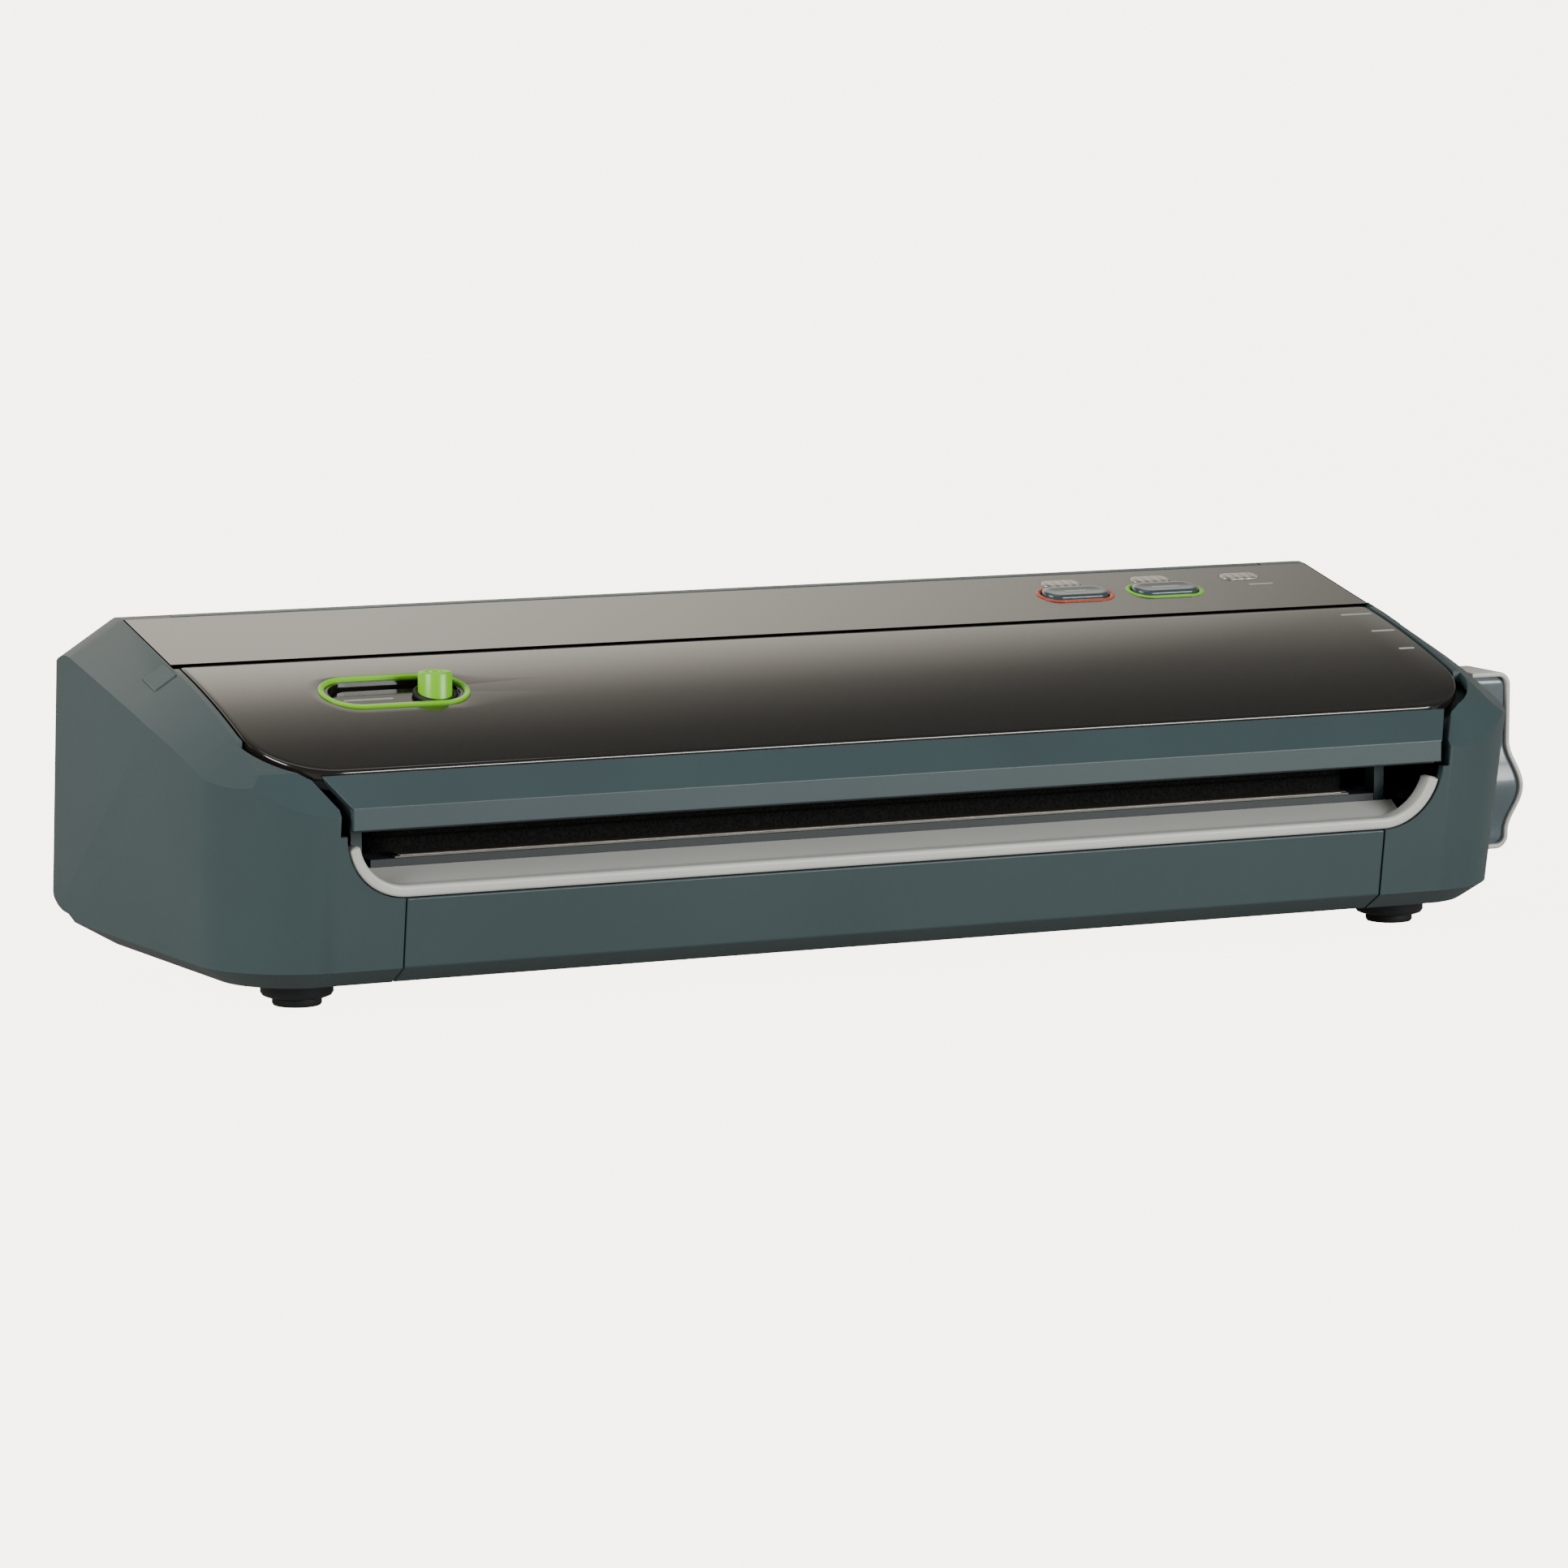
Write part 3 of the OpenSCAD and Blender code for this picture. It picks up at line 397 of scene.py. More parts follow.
# Turned brass of the pump rotor: yellow, with fine turning marks.
BRASS = metal("turned_brass", "#c9a254", 0.3, 0.2)
# Glass-cloth release tape: dark tan, with a fine weave in its gloss.
TAPE = plastic("glass_cloth_release_tape", "#4a4438", 0.4, 0.4, 0.5, 0.08)
# Heat-resistant phenolic bar: mottled tan-grey, almost without gloss.
PHENOLIC = plastic("phenolic_bar", "#8b877c", 0.5, 0.5, 0.2, 0.06)
# Solder mask on the boards: deep green, smooth and a little glossy.
BOARD = plastic("green_solder_mask", "#2a6a44", 0.3, 1.2, 0.1, 0.1, 0.3)
# Silicone tube: milky, with a soft sheen.
SILICONE = plastic("milky_silicone_tube", "#c3c5c0", 0.35, 0.5, 0.05)
# Black glass-filled nylon of gland, pump head, switches and flanges: satin, faintly rough.
NYLON = plastic("black_glass_filled_nylon", "#1f2325", 0.45, 0.5, 0.2)


# ---------------------------------------------------------------- housing

def outer_shoulder(middle):
    """Edges where the cheeks' top meets their sides, well away from the mouth."""
    return abs(middle.x) > 183 * MM and middle.z > 50 * MM


for side_node in ("left_cheek", "right_cheek"):
    moulded(side_node, side_node + "_shell", "housing", SLATE, 0.55 * MM,
            outer_shoulder, 4.0, 4)
moulded("front_panel", "front_panel_shell", "housing", SLATE, 0.5 * MM)
moulded("rear_cover", "rear_cover_shell", "housing", SLATE, 0.5 * MM)
moulded("control_panel", "control_panel_skin", "housing", SMOKED, 0.3 * MM)
moulded("pin_plugs", "pin_plug_caps", "housing", SLATE, 0.4 * MM)
moulded("base_pan", "base_pan_plate", "housing", DARK_ABS, 0.4 * MM)
moulded("front_flap", "front_flap_shell", "lid", SLATE, 0.7 * MM)

# CAD nodes that are shown as they are, each with its finish.
KEEP = {
    "deck": DARK_ABS, "trough": DARK_ABS, "lid_frame": DARK_ABS, "heat_bar": PHENOLIC,
    "heat_strip": RIBBON, "release_tape": TAPE, "pump_motor": STEEL, "pump_head": NYLON,
    "motor_bracket": STEEL, "vacuum_hose": SILICONE, "transformer_core": IRON,
    "transformer_coil": WINDING, "power_board": BOARD, "control_board": BOARD,
    "tact_switches": NYLON, "indicator_lamps": LENS, "base_screws": STEEL, "cord_gland": NYLON,
    "port_duct": SILICONE, "hinge_pins": STEEL, "latch_posts": SLATE, "lever_shaft": STEEL,
    "latch_bar": STEEL, "pump_rotor": BRASS, "pressure_strip": RUBBER, "port_cup": SMOKED,
}
for kept, finish in KEEP.items():
    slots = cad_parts[kept].data.materials
    if not len(slots):
        slots.append(finish)
    for index in range(len(slots)):
        slots[index] = finish


# ---------------------------------------------------------------- lid

def lid_height(y):
    """Height of the lid's top: a straight rise from the front bend to the seam plus a parabola
    that is bow high half way."""
    t = (y - BEND_Y) / (SEAM_Y - BEND_Y)
    return LID_BEND_Z + (SEAM_Z - LID_BEND_Z) * t + 4 * LID_BOW * t * (1 - t)


def lid_outline(inset, count):
    """Plan of the lid, drawn in by inset, as points evenly spaced along the outline: straight
    rear edge and sides, quarter circles at the front corners."""
    x0, x1 = LID[0][0] + inset, LID[1][0] - inset
    y0, y1 = LID[0][1] + inset, LID[1][1] - inset
    r = LID_CORNER - inset
    corner = np.radians(np.linspace(0, 90, 25))
    left = np.stack([x0 + r - r * np.cos(corner), y0 + r - r * np.sin(corner)], axis=-1)
    right = np.stack([x1 - r + r * np.sin(corner), y0 + r - r * np.cos(corner)], axis=-1)
    path = np.vstack([[x0, y1], left, right, [x1, y1], [x0, y1]])
    run = np.concatenate([[0], np.cumsum(np.linalg.norm(np.diff(path, axis=0), axis=1))])
    at = np.linspace(0, run[-1], count, endpoint=False)
    return np.stack([np.interp(at, run, path[:, k]) for k in (0, 1)], axis=-1)


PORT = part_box("port_ring")
PORT_C = [(PORT[0][0] + PORT[1][0]) / 2, -17.6 * MM, 0.0]
PORT_C[2] = lid_height(PORT_C[1])
PORT_L = PORT[1][0] - PORT[0][0]
PORT_W = 19.4 * MM
LID_TILT = math.atan((SEAM_Z - LID_BEND_Z) / (SEAM_Y - BEND_Y)) - math.radians(1)


def make_lid_cover():
    """The skin: rings that pass from the port's hole out to the lid's edge, each a blend of the
    two outlines, then round the edge, down the skirt and back underneath. The height of every
    ring is the lid's own height at that y."""
    count = 640
    edge = lid_outline(0, count)
    aim = np.arctan2(edge[:, 1] - PORT_C[1], edge[:, 0] - PORT_C[0])
    half, radius = (PORT_L - PORT_W) / 2, PORT_W / 2
    far = np.stack([np.cos(aim), np.sin(aim)], axis=-1)
    end = np.where(np.abs(far[:, 0]) * radius > np.abs(far[:, 1]) * half, 1.0, 0.0)
    reach_side = radius / np.maximum(np.abs(far[:, 1]), 1e-9)
    reach_end = half * np.abs(far[:, 0]) + np.sqrt(
        np.maximum(radius**2 - (half * far[:, 1]) ** 2, 0))
    hole = np.array(PORT_C[:2]) + far * np.where(end > 0, reach_end, reach_side)[:, None]

    def ring(flat, drop):
        z = lid_height(flat[:, 1]) - drop
        return np.column_stack([flat, z])

    roll = 0.7 * MM
    bends = [(roll * (1 - math.sin(a)), roll * (1 - math.cos(a)))
             for a in np.radians(np.linspace(0, 90, 7))]
    inner_edge = lid_outline(roll, count)
    across = np.linspace(0, 1, 26) ** 0.9
    rings = [ring(hole, LID_SKIN), ring(hole, LID_SKIN * 0.5), ring(hole, 0.12 * MM)]
    rings += [ring(hole + (inner_edge - hole) * t, 0) for t in across[1:]]
    rings += [ring(lid_outline(inset, count), drop) for inset, drop in bends[1:]]
    rings += [ring(edge, LID_SKIN - 0.2 * MM), ring(lid_outline(0.3 * MM, count), LID_SKIN)]
    rings += [ring(hole + (lid_outline(0.6 * MM, count) - hole) * t, LID_SKIN)
              for t in (1.0, 0.6, 0.3)]
    loft("lid_cover_skin", rings, "lid", SMOKED, closed_section=True,
         replaces=("lid_cover",), slot="gloss_dark")


make_lid_cover()


def make_gasket(name, cad):
    """A foam loop: the outline of a rounded rectangle carrying a rounded square section."""
    low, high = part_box(cad)
    width = 6.6 * MM
    top, base = high[2], low[2]
    x, y = (low[0] + high[0]) / 2, (low[1] + high[1]) / 2
    length, depth = high[0] - low[0], high[1] - low[1]
    count = 320

    def outline(inset):
        angle = (np.arange(count) + 0.5) / count * 2 * math.pi
        r = max(9 * MM - inset, 2.2 * MM)
        sx, sy = length / 2 - inset - r, depth / 2 - inset - r
        cx, cy = np.sign(np.cos(angle)) * sx, np.sign(np.sin(angle)) * sy
        return np.stack([x + cx + r * np.cos(angle), y + cy + r * np.sin(angle)], axis=-1)

    e = 1.1 * MM
    arc = np.radians(np.linspace(0, 90, 5))
    section = [(e - e * math.sin(a), top - e + e * math.cos(a)) for a in arc[::-1]]
    section += [(width - e + e * math.sin(a), top - e + e * math.cos(a)) for a in arc]
    section += [(width - 0.1 * MM, base), (0.1 * MM, base)]
    rings = [np.column_stack([outline(i), np.full(count, h)]) for i, h in section]
    piece = loft(name, rings, "lid" if cad == "upper_gasket" else "housing", FOAM,
                 closed_section=True, replaces=(cad,), slot="foam")


make_gasket("lower_foam_gasket", "lower_gasket")
make_gasket("upper_foam_gasket", "upper_gasket")

stadium_stack(
    "port_ring_trim", PORT_L, PORT_W,
    [(0, -2.2 * MM), (0, 0.2 * MM), (0.25 * MM, 0.45 * MM), (1.1 * MM, 0.45 * MM),
     (1.45 * MM, 0.2 * MM), (1.5 * MM, -2.2 * MM)],
    PORT_C, LID_TILT, "lid", GREEN, hoop=True, replaces=("port_ring",), slot="green")

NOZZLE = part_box("port_nozzle")
NOZZLE_C = [(NOZZLE[0][0] + NOZZLE[1][0]) / 2, (NOZZLE[0][1] + NOZZLE[1][1]) / 2, 0.0]
R_OUT = (NOZZLE[1][0] - NOZZLE[0][0]) / 2
BORE_R, BORE_LOW_R = 2.5 * MM, 1.6 * MM
NOZZLE_LOW, NOZZLE_TOP = NOZZLE[0][2], NOZZLE[1][2]
SHOULDER_Z = NOZZLE_LOW + 3 * MM
nozzle_section = [
    (R_OUT, NOZZLE_LOW), (R_OUT, NOZZLE_TOP - 0.6 * MM), (R_OUT - 0.2 * MM, NOZZLE_TOP - 0.2 * MM),
    (R_OUT - 0.6 * MM, NOZZLE_TOP), (BORE_R + 0.5 * MM, NOZZLE_TOP),
    (BORE_R + 0.1 * MM, NOZZLE_TOP - 0.3 * MM), (BORE_R, NOZZLE_TOP - 0.8 * MM),
    (BORE_R, SHOULDER_Z), (BORE_LOW_R, SHOULDER_Z), (BORE_LOW_R, NOZZLE_LOW)]
loft("port_nozzle_tube", revolve_rings(nozzle_section, NOZZLE_C), "lid", GREEN,
     closed_section=True, replaces=("port_nozzle",), slot="green")
SEAL_C = placed(np.array([[NOZZLE_C[0] - PORT_C[0], -0.42 * MM]]), -1.4 * MM, PORT_C, LID_TILT)[0]
loft(
    "nozzle_seal_ring",
    revolve_rings(
        [(5.3 * MM + 0.66 * MM * math.cos(a), 0.76 * MM * math.sin(a))
         for a in np.linspace(0, 2 * math.pi, 16, endpoint=False)], SEAL_C, LID_TILT),
    "lid", RUBBER, closed_section=True, replaces=("nozzle_seal",), slot="rubber")


# ---------------------------------------------------------------- controls

def panel_point(x, y):
    """A point on the control panel's plane, which falls at the tilt from its rear edge."""
    rear_y, rear_z = PANEL[1][1], PANEL[1][2]
    return [x, y, rear_z - (rear_y - y) * math.tan(PANEL_TILT)]


RING_L, RING_W = 23.8 * MM, 12.4 * MM
MARK_W = 0.9 * MM
KEYS = [("seal", RED, "red", "seal_key"), ("vac", GREEN, "green", "vac_key")]
for word, ring_finish, ring_slot, key_body in KEYS:
    low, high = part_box(word + "_ring")
    centre = panel_point((low[0] + high[0]) / 2, PANEL[1][1] - 16.6 * MM)
    stadium_stack(
        word + "_ring_trim", RING_L, RING_W,
        [(0, -2.4 * MM), (0, 0.12 * MM), (0.2 * MM, 0.28 * MM), (1.05 * MM, 0.28 * MM),
         (1.35 * MM, 0.05 * MM), (1.4 * MM, -2.4 * MM)],
        centre, PANEL_TILT, "housing", ring_finish, hoop=True,
        replaces=(word + "_ring",), slot=ring_slot)
    dish = [(1.75 * MM, 0.55 * MM), (1.85 * MM, 0.85 * MM), (2.2 * MM, 1.1 * MM),
            (2.8 * MM, 1.2 * MM), (3.6 * MM, 1.16 * MM), (4.8 * MM, 1.08 * MM),
            (5.6 * MM, 1.05 * MM)]
    stadium_stack(
        word + "_button_cap", RING_L, RING_W,
        [(0.75 * MM, -4.5 * MM), (0.75 * MM, -3.3 * MM), (1.75 * MM, -3.2 * MM)] + dish,
        centre, PANEL_TILT, key_body, KEY_PAINT,
        replaces=(word + "_button",), slot="button")
    mark = [(0.0, 1.0 * MM), (0.0, 1.17 * MM), (0.15 * MM, 1.18 * MM)]
    stadium_stack(word + "_button_mark", (7 if word == "seal" else 9) * MM, MARK_W, mark, centre,
                  PANEL_TILT, key_body, INK)

# Each lens's place in millimetres: X, and how far in front of the panel's rear edge.
LENS_PLACES = [(96.3, 7.7), (125.1, 7.7), (153.7, 8.6)]
LENS_L, LENS_W = 12.3 * MM, 5.6 * MM
LENS_SECTION = [(0.12, -4.2), (0.12, 0.1), (0.25, 0.28), (0.6, 0.36), (1.6, 0.38), (2.4, 0.38)]
lens_shells = []
for lens_x, forward in LENS_PLACES:
    centre = panel_point(lens_x * MM, PANEL[1][1] - forward * MM)
    lens_shells.append(([placed(stadium(LENS_L, LENS_W, i * MM), h * MM, centre, PANEL_TILT)
                         for i, h in LENS_SECTION], False))
joined("indicator_lens_set", lens_shells, "housing", LENS,
       replaces=("indicator_lenses",), slot="lens")


def printed_bar(x, y, length, on_lid):
    """A thin printed bar lying on the lid or the panel, as one closed stadium."""
    if on_lid:
        slope = math.atan((lid_height(y + MM) - lid_height(y - MM)) / (2 * MM))
        centre = [x, y, lid_height(y)]
    else:
        slope, centre = PANEL_TILT, panel_point(x, y)
    return [placed(stadium(length, MARK_W, i), h, centre, slope)
            for i, h in ((0, -0.1 * MM), (0, 0.12 * MM), (0.1 * MM, 0.14 * MM))], False


# X, Y and length of each mark in millimetres: long, middling and short for the three positions.
LEVER_MARKS = [(171.5, -0.3, 10), (172.5, -13.4, 7.5), (172.8, -25.8, 5)]
joined("lever_position_marks",
       [printed_bar(x * MM, y * MM, length * MM, True) for x, y, length in LEVER_MARKS], "lid", INK)
joined("power_mark", [printed_bar(157 * MM, PANEL[1][1] - 15.5 * MM, 8 * MM, False)],
       "housing", INK)
port_mark_c = [PORT_C[0] - 7 * MM, PORT_C[1], PORT_C[2]]
loft("port_mark", [placed(stadium(14 * MM, MARK_W, i), h, port_mark_c, LID_TILT)
                   for i, h in ((0, -2.3 * MM), (0, -2.12 * MM), (0.1 * MM, -2.1 * MM))],
     "lid", INK)


# ---------------------------------------------------------------- tray

def make_tray():
    """The rim is a rounded bar swept along a U in front view: up the left curl, round, along the
    straight, round and up. The floor is a dished sheet that widens and rises to the heating strip
    as a power of the distance from the rim."""
    low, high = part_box("tray")
    turn = 16.7 * MM
    thick = 3.0 * MM
    cx = high[0] - turn
    cz = low[2] + turn
    mid = turn - thick / 2
    end = math.degrees(math.asin((high[2] - cz) / mid)) if high[2] < cz else 0.0
    arc = np.radians(np.linspace(end, -90, 25))
    right = np.stack([cx + mid * np.cos(arc), cz + mid * np.sin(arc)], axis=-1)
    straight = np.linspace(1, -1, 41)[1:-1, None] * [[cx, 0]] + [[0, cz - mid]]
    left = right[::-1] * [-1, 1]
    path = np.vstack([right, straight, left])
    half_thick, half_depth = thick / 2, 2.8 * MM
    section = rounded_section((-half_thick, -half_depth), (half_thick, half_depth), 0.9 * MM)
    wall_y = FRONT_WALL_FOOT - FRONT_WALL_LEAN * (path[:, 1] - FRONT_WALL_FOOT_Z)
    middle_y = wall_y[:, None] + 0.1 * MM + half_depth
    rings = swept_rings(path, section, middle_y + section[None, :, 1])
    # Each end is drawn in to a soft tip.
    tips = []
    for ring in (rings[0], rings[-1]):
        middle = ring.mean(axis=0)
        tips.append(middle + (ring - middle) * 0.6 + np.array([0, 0, 0.5 * MM]))
    rings = np.concatenate([[tips[0]], rings, [tips[1]]])
    loft("tray_rim", rings, "housing", PALE, replaces=("tray",), slot="light_plastic")

    across = np.linspace(-1, 1, 61)
    deep = np.linspace(0, 1, 17)
    front, back = -61 * MM, -50.4 * MM
    rear_z, sheet = 6 * MM, 2.2 * MM
    half_front, half_back = cx + 8.4 * MM, cx + 10.4 * MM
    t = np.repeat(deep[:, None], len(across), axis=1)
    half = half_front + (half_back - half_front) * t
    x = across[None, :] * half
    y = front + (back - front) * t
    front_z = thick - 0.4 * MM
    z = low[2] + front_z + (rear_z - front_z) * (t**1.35)
    top = np.stack([x, y, z], axis=-1)
    under = top - [0, 0, sheet]
    shape = top.shape[:2]
    count = shape[0] * shape[1]
    faces = grid_faces(*shape, close_cols=False)
    lower = faces[:, ::-1] + count
    rim_index = np.arange(count).reshape(shape)
    loop = np.concatenate([rim_index[0, :], rim_index[1:, -1], rim_index[-1, -2::-1],
                           rim_index[-2:0:-1, 0]])
    after = np.roll(loop, -1)
    wall = np.stack([loop, after, after + count, loop + count], axis=-1)
    points = np.vstack([top.reshape(-1, 3), under.reshape(-1, 3)])
    add_piece("tray_floor", points, np.vstack([faces, lower, wall]), "housing", PALE,
              slot="light_plastic")


make_tray()


# ---------------------------------------------------------------- lever

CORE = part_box("lever_core")
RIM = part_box("lever_rim")
LEVER_Y = (RIM[0][1] + RIM[1][1]) / 2
LEVER_Z = 33.6 * MM
LEVER_HALF = 9.0 * MM
KNUCKLE = 2.5 * MM
KNUCKLE_OUT = 3.3 * MM
HUB_REACH = 13 * MM
HUB_PROUD = 3.4 * MM
TRIM = 1.4 * MM
TRIM_GAP = 0.05 * MM
LEVER_X0 = CORE[0][0]
LEVER_X1 = RIM[1][0] - HUB_PROUD


def swell(z):
    """A raised cosine about the pivot, one at the hub and nothing at its reach."""
    t = np.clip((z - LEVER_Z) / HUB_REACH, -1, 1)
    return 0.5 * (1 + np.cos(math.pi * t))


def make_lever_rim():
    """A thin bar swept along a C in front view: out along the top, down the outer face with a
    swell at the hub, and back under. Its width in Y swells with the hub too."""
    top, low = RIM[1][2] - TRIM / 2, RIM[0][2] + TRIM / 2
    inner, outer = RIM[0][0], LEVER_X1 - TRIM / 2
    bend = 3.2 * MM
    arc = np.radians(np.linspace(90, 0, 9))
    corner = np.stack([outer - bend + bend * np.cos(arc), top - bend + bend * np.sin(arc)], axis=-1)
    z = np.linspace(top - bend, low + bend, 61)[1:-1]
    face = np.stack([np.full_like(z, outer), z], axis=-1)
    foot = corner[::-1] * [1, -1] + [0, top + low]
    start = np.stack([np.linspace(inner, outer - bend, 5)[:-1], np.full(4, top)], axis=-1)
    stop = np.stack([np.linspace(outer - bend, inner, 5)[1:], np.full(4, low)], axis=-1)
    path = np.vstack([start, corner, face, foot, stop])
    path[:, 0] += swell(path[:, 1]) * KNUCKLE_OUT
    half = LEVER_HALF + KNUCKLE * swell(path[:, 1])
    e = 0.5 * MM
    # The section's two halves are pushed apart to the lever's own width.
    unit = rounded_section((-TRIM / 2, -2 * e), (TRIM / 2, 2 * e), e, 4)
    apart = np.sign(unit[None, :, 1]) * (half[:, None] - 2 * e)
    rings = swept_rings(path, unit, LEVER_Y + apart + unit[None, :, 1])
    loft("lever_rim_trim", rings, "lever", PALE, replaces=("lever_rim",), slot="light_plastic")


def make_lever_core():
    """Rounded rectangles stacked up the lever, each as wide and as deep as the swell makes it."""
    z0, z1 = RIM[0][2] + TRIM + TRIM_GAP, RIM[1][2] - TRIM - TRIM_GAP
    levels = np.linspace(z0, z1, 71)
    rings = []
    for index, z in enumerate(levels):
        s = float(swell(z))
        ends = min(index, len(levels) - 1 - index)
        inset = 0.5 * MM * (1 - min(1.0, ends / 2)) + 0.6 * MM
        back, front = LEVER_X0, LEVER_X1 - TRIM - TRIM_GAP + KNUCKLE_OUT * s
        if ends < 4:
            front -= (4 - ends) ** 2 * 0.12 * MM
        half = LEVER_HALF + KNUCKLE * s - inset
        flat = rounded_section((back, -half), (front, half), 1.2 * MM)
        rings.append(np.column_stack([flat[:, 0], LEVER_Y + flat[:, 1], np.full(len(flat), z)]))
    loft("lever_core_body", rings, "lever", LEVER_GREY, replaces=("lever_core",), slot="lever_grey")


make_lever_rim()
make_lever_core()


# ---------------------------------------------------------------- feet

def make_feet():
    """Turned pieces: flanges with a rounded lower edge, and pads with a rounded rim."""
    low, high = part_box("rubber_feet")
    flange_low, flange_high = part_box("foot_flanges")
    pad_r, ring_r = 6.45 * MM, 9.45 * MM
    places = [(x, y) for x in (low[0] + pad_r, high[0] - pad_r)
              for y in (low[1] + pad_r, high[1] - pad_r)]
    pads, flanges = [], []
    for x, y in places:
        pad = [(pad_r - 0.9 * MM, low[2]), (pad_r - 0.35 * MM, low[2] + 0.1 * MM),
               (pad_r, low[2] + 0.6 * MM), (pad_r, flange_low[2] - 0.1 * MM),
               (pad_r - 1.1 * MM, flange_low[2]), (pad_r - 1.1 * MM, high[2])]
        pads.append((revolve_rings(pad, (x, y, 0)), False))
        ring = [(pad_r - 0.9 * MM, flange_low[2]), (ring_r - 1.4 * MM, flange_low[2]),
                (ring_r - 0.5 * MM, flange_low[2] + 0.35 * MM), (ring_r, flange_low[2] + 1.1 * MM),
                (ring_r, flange_high[2]), (pad_r - 0.9 * MM, flange_high[2])]
        flanges.append((revolve_rings(ring, (x, y, 0)), True))
    joined("rubber_foot_pads", pads, "housing", RUBBER, replaces=("rubber_feet",), slot="rubber")
    joined("foot_flange_rings", flanges, "housing", NYLON, replaces=("foot_flanges",),
           slot="black_part")


make_feet()


# ---------------------------------------------------------------- studio

WALL_TOP = 2.6
WALL_BACK = 1.6
# How bright the wall is in reflections, at shares of its height.
WALL_GLOW = [(0.1, 0.25), (0.4, 1.0), (0.48, 0.8), (0.62, 0.28), (0.8, 0.05)]


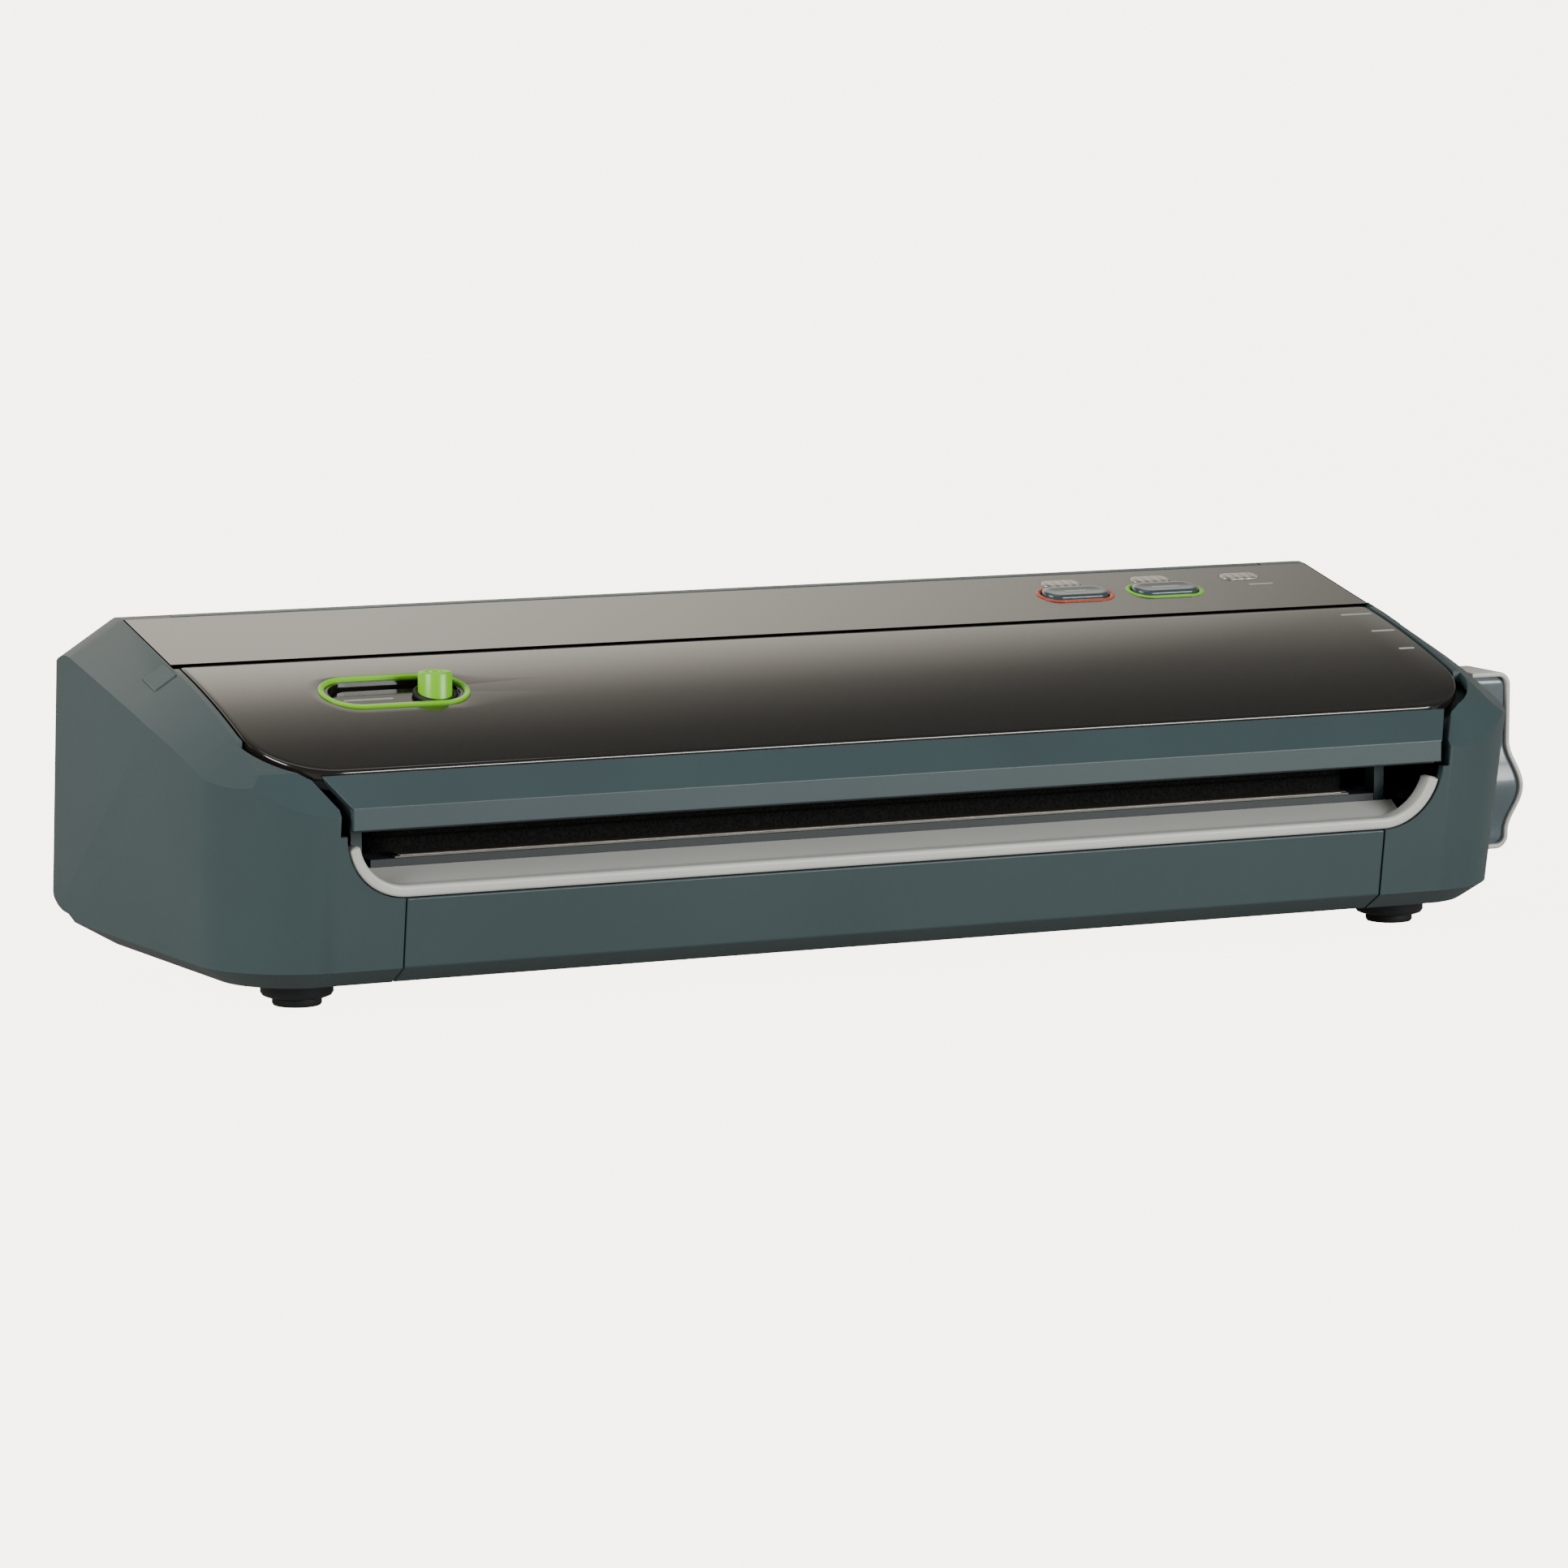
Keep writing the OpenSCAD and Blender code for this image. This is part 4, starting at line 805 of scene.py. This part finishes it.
def make_studio():
    """A pale floor that sweeps up behind the object. To the camera it is an even white; in
    reflections the wall is brightest low down, and fades as it rises and towards the right.
    Its back lets everything through, so the object can be seen from behind as well."""
    material, tree = new_material("matt_white_studio_paper")
    place = node(tree, "ShaderNodeTexCoord")
    along = node(tree, "ShaderNodeSeparateXYZ", {"Vector": place.outputs["Object"]})
    rise = node(tree, "ShaderNodeMapRange", {"Value": along.outputs["Z"]}, From_Max_in=WALL_TOP)
    glow = node(tree, "ShaderNodeValToRGB", {"Fac": rise.outputs["Result"]})
    stops = glow.color_ramp.elements
    stops[0].position, stops[0].color = 0.0, (0.05, 0.05, 0.05, 1)
    stops[1].position, stops[1].color = 1.0, (0.0, 0.0, 0.0, 1)
    for at, value in WALL_GLOW:
        stop = stops.new(at)
        stop.color = (value, value, value, 1)
    side = node(tree, "ShaderNodeMapRange", {"Value": along.outputs["X"]},
                From_Min_in=0.6, From_Max_in=1.3, To_Min_in=1.7, To_Max_in=0.4)
    seen = node(tree, "ShaderNodeLightPath")
    strength = node(tree, "ShaderNodeMath", {0: glow.outputs["Color"], 1: side.outputs["Result"]},
                    operation="MULTIPLY")
    mixed = node(tree, "ShaderNodeMix", {"Factor": seen.outputs["Is Camera Ray"],
                                         "A": strength.outputs["Value"]}, B_in=6.0)
    fibre = node(tree, "ShaderNodeTexNoise", {"Vector": place.outputs["Object"]}, Scale_in=40.0)
    height = node(tree, "ShaderNodeBump", {"Height": fibre.outputs["Fac"]}, Strength_in=0.02)
    shader = node(tree, "ShaderNodeBsdfPrincipled", {
        "Normal": height.outputs["Normal"], "Emission Strength": mixed.outputs["Result"]},
        Base_Color_in=linear("#8c8c8a"), Roughness_in=0.9, Emission_Color_in=linear("#fff6e6"))
    side_seen = node(tree, "ShaderNodeNewGeometry")
    clear = node(tree, "ShaderNodeBsdfTransparent")
    surface = node(tree, "ShaderNodeMixShader", {
        0: side_seen.outputs["Backfacing"], 1: shader.outputs["BSDF"], 2: clear.outputs["BSDF"]})
    node(tree, "ShaderNodeOutputMaterial", {"Surface": surface.outputs["Shader"]})
    front, half_width, turn = -3.0, 3.5, 0.4
    bend = rounded_corner((WALL_BACK - turn, turn), turn, -90, 0, 16)
    profile = [(front, 0.0), *bend, (WALL_BACK, WALL_TOP)]
    points = np.array([[x, y, z] for y, z in profile for x in (-half_width, half_width)])
    faces = grid_faces(len(profile), 2, close_cols=False)
    mesh = bpy.data.meshes.new("studio_sweep")
    mesh.from_pydata(points.tolist(), [], faces.tolist())
    mesh.materials.append(material)
    mesh.shade_smooth()
    sweep = linked("studio_sweep", mesh)


def stood(right, up, back, place):
    """The matrix of a lamp or camera at a place, looking against its back direction."""
    rows = [[right[i], up[i], back[i], place[i]] for i in range(3)]
    return Matrix(rows + [[0, 0, 0, 1]])


def softbox(name, place, aim, size, power):
    """A soft white rectangular light at a place, aimed at a point."""
    data = bpy.data.lights.new(name, "AREA")
    data.shape = "RECTANGLE"
    data.size, data.size_y = size
    data.energy = power
    lamp = linked(name, data)
    away = (np.array(place) - np.array(aim)).astype(float)
    back = away / np.linalg.norm(away)
    right = np.cross([0, 0, 1], back)
    right /= np.linalg.norm(right)
    lamp.matrix_world = stood(right, np.cross(back, right), back, place)
    lamp.visible_camera = False


def make_lights():
    """Weak air light, two equal softboxes from the left and the front right, a faint one above."""
    world = bpy.data.worlds.new("studio_air")
    world.use_nodes = True
    world.node_tree.nodes["Background"].inputs["Color"].default_value = linear("#ffffff")
    world.node_tree.nodes["Background"].inputs["Strength"].default_value = 0.16
    bpy.context.scene.world = world
    middle = (0, 0, 0.03)
    softbox("key_left", (-2.1, -0.7, 1.0), middle, (1.2, 0.9), 50)
    softbox("front_right", (1.3, -2.1, 0.6), middle, (1.4, 0.7), 50)
    softbox("overhead", (0.0, 0.2, 1.7), middle, (1.2, 0.5), 3)


def make_camera():
    """Long lens from the front left, a little above the lid."""
    azimuth, elevation = math.radians(-25.41), math.radians(7.65)
    back = np.array([math.sin(azimuth) * math.cos(elevation),
                     -math.cos(azimuth) * math.cos(elevation), math.sin(elevation)])
    right = np.array([math.cos(azimuth), math.sin(azimuth), 0.0])
    up = np.cross(back, right)
    aim = np.array([0, 15 * MM, 40 * MM])
    aim = aim - 0.485 * MM * right + 1.607 * MM * up
    place = aim + 1675.99 * MM * back
    data = bpy.data.cameras.new("camera")
    data.sensor_width = 36
    data.lens = 140.27
    data.clip_end = 50
    camera = linked("camera", data)
    camera.matrix_world = stood(right, up, back, place)
    bpy.context.scene.camera = camera


make_studio()
make_lights()
make_camera()
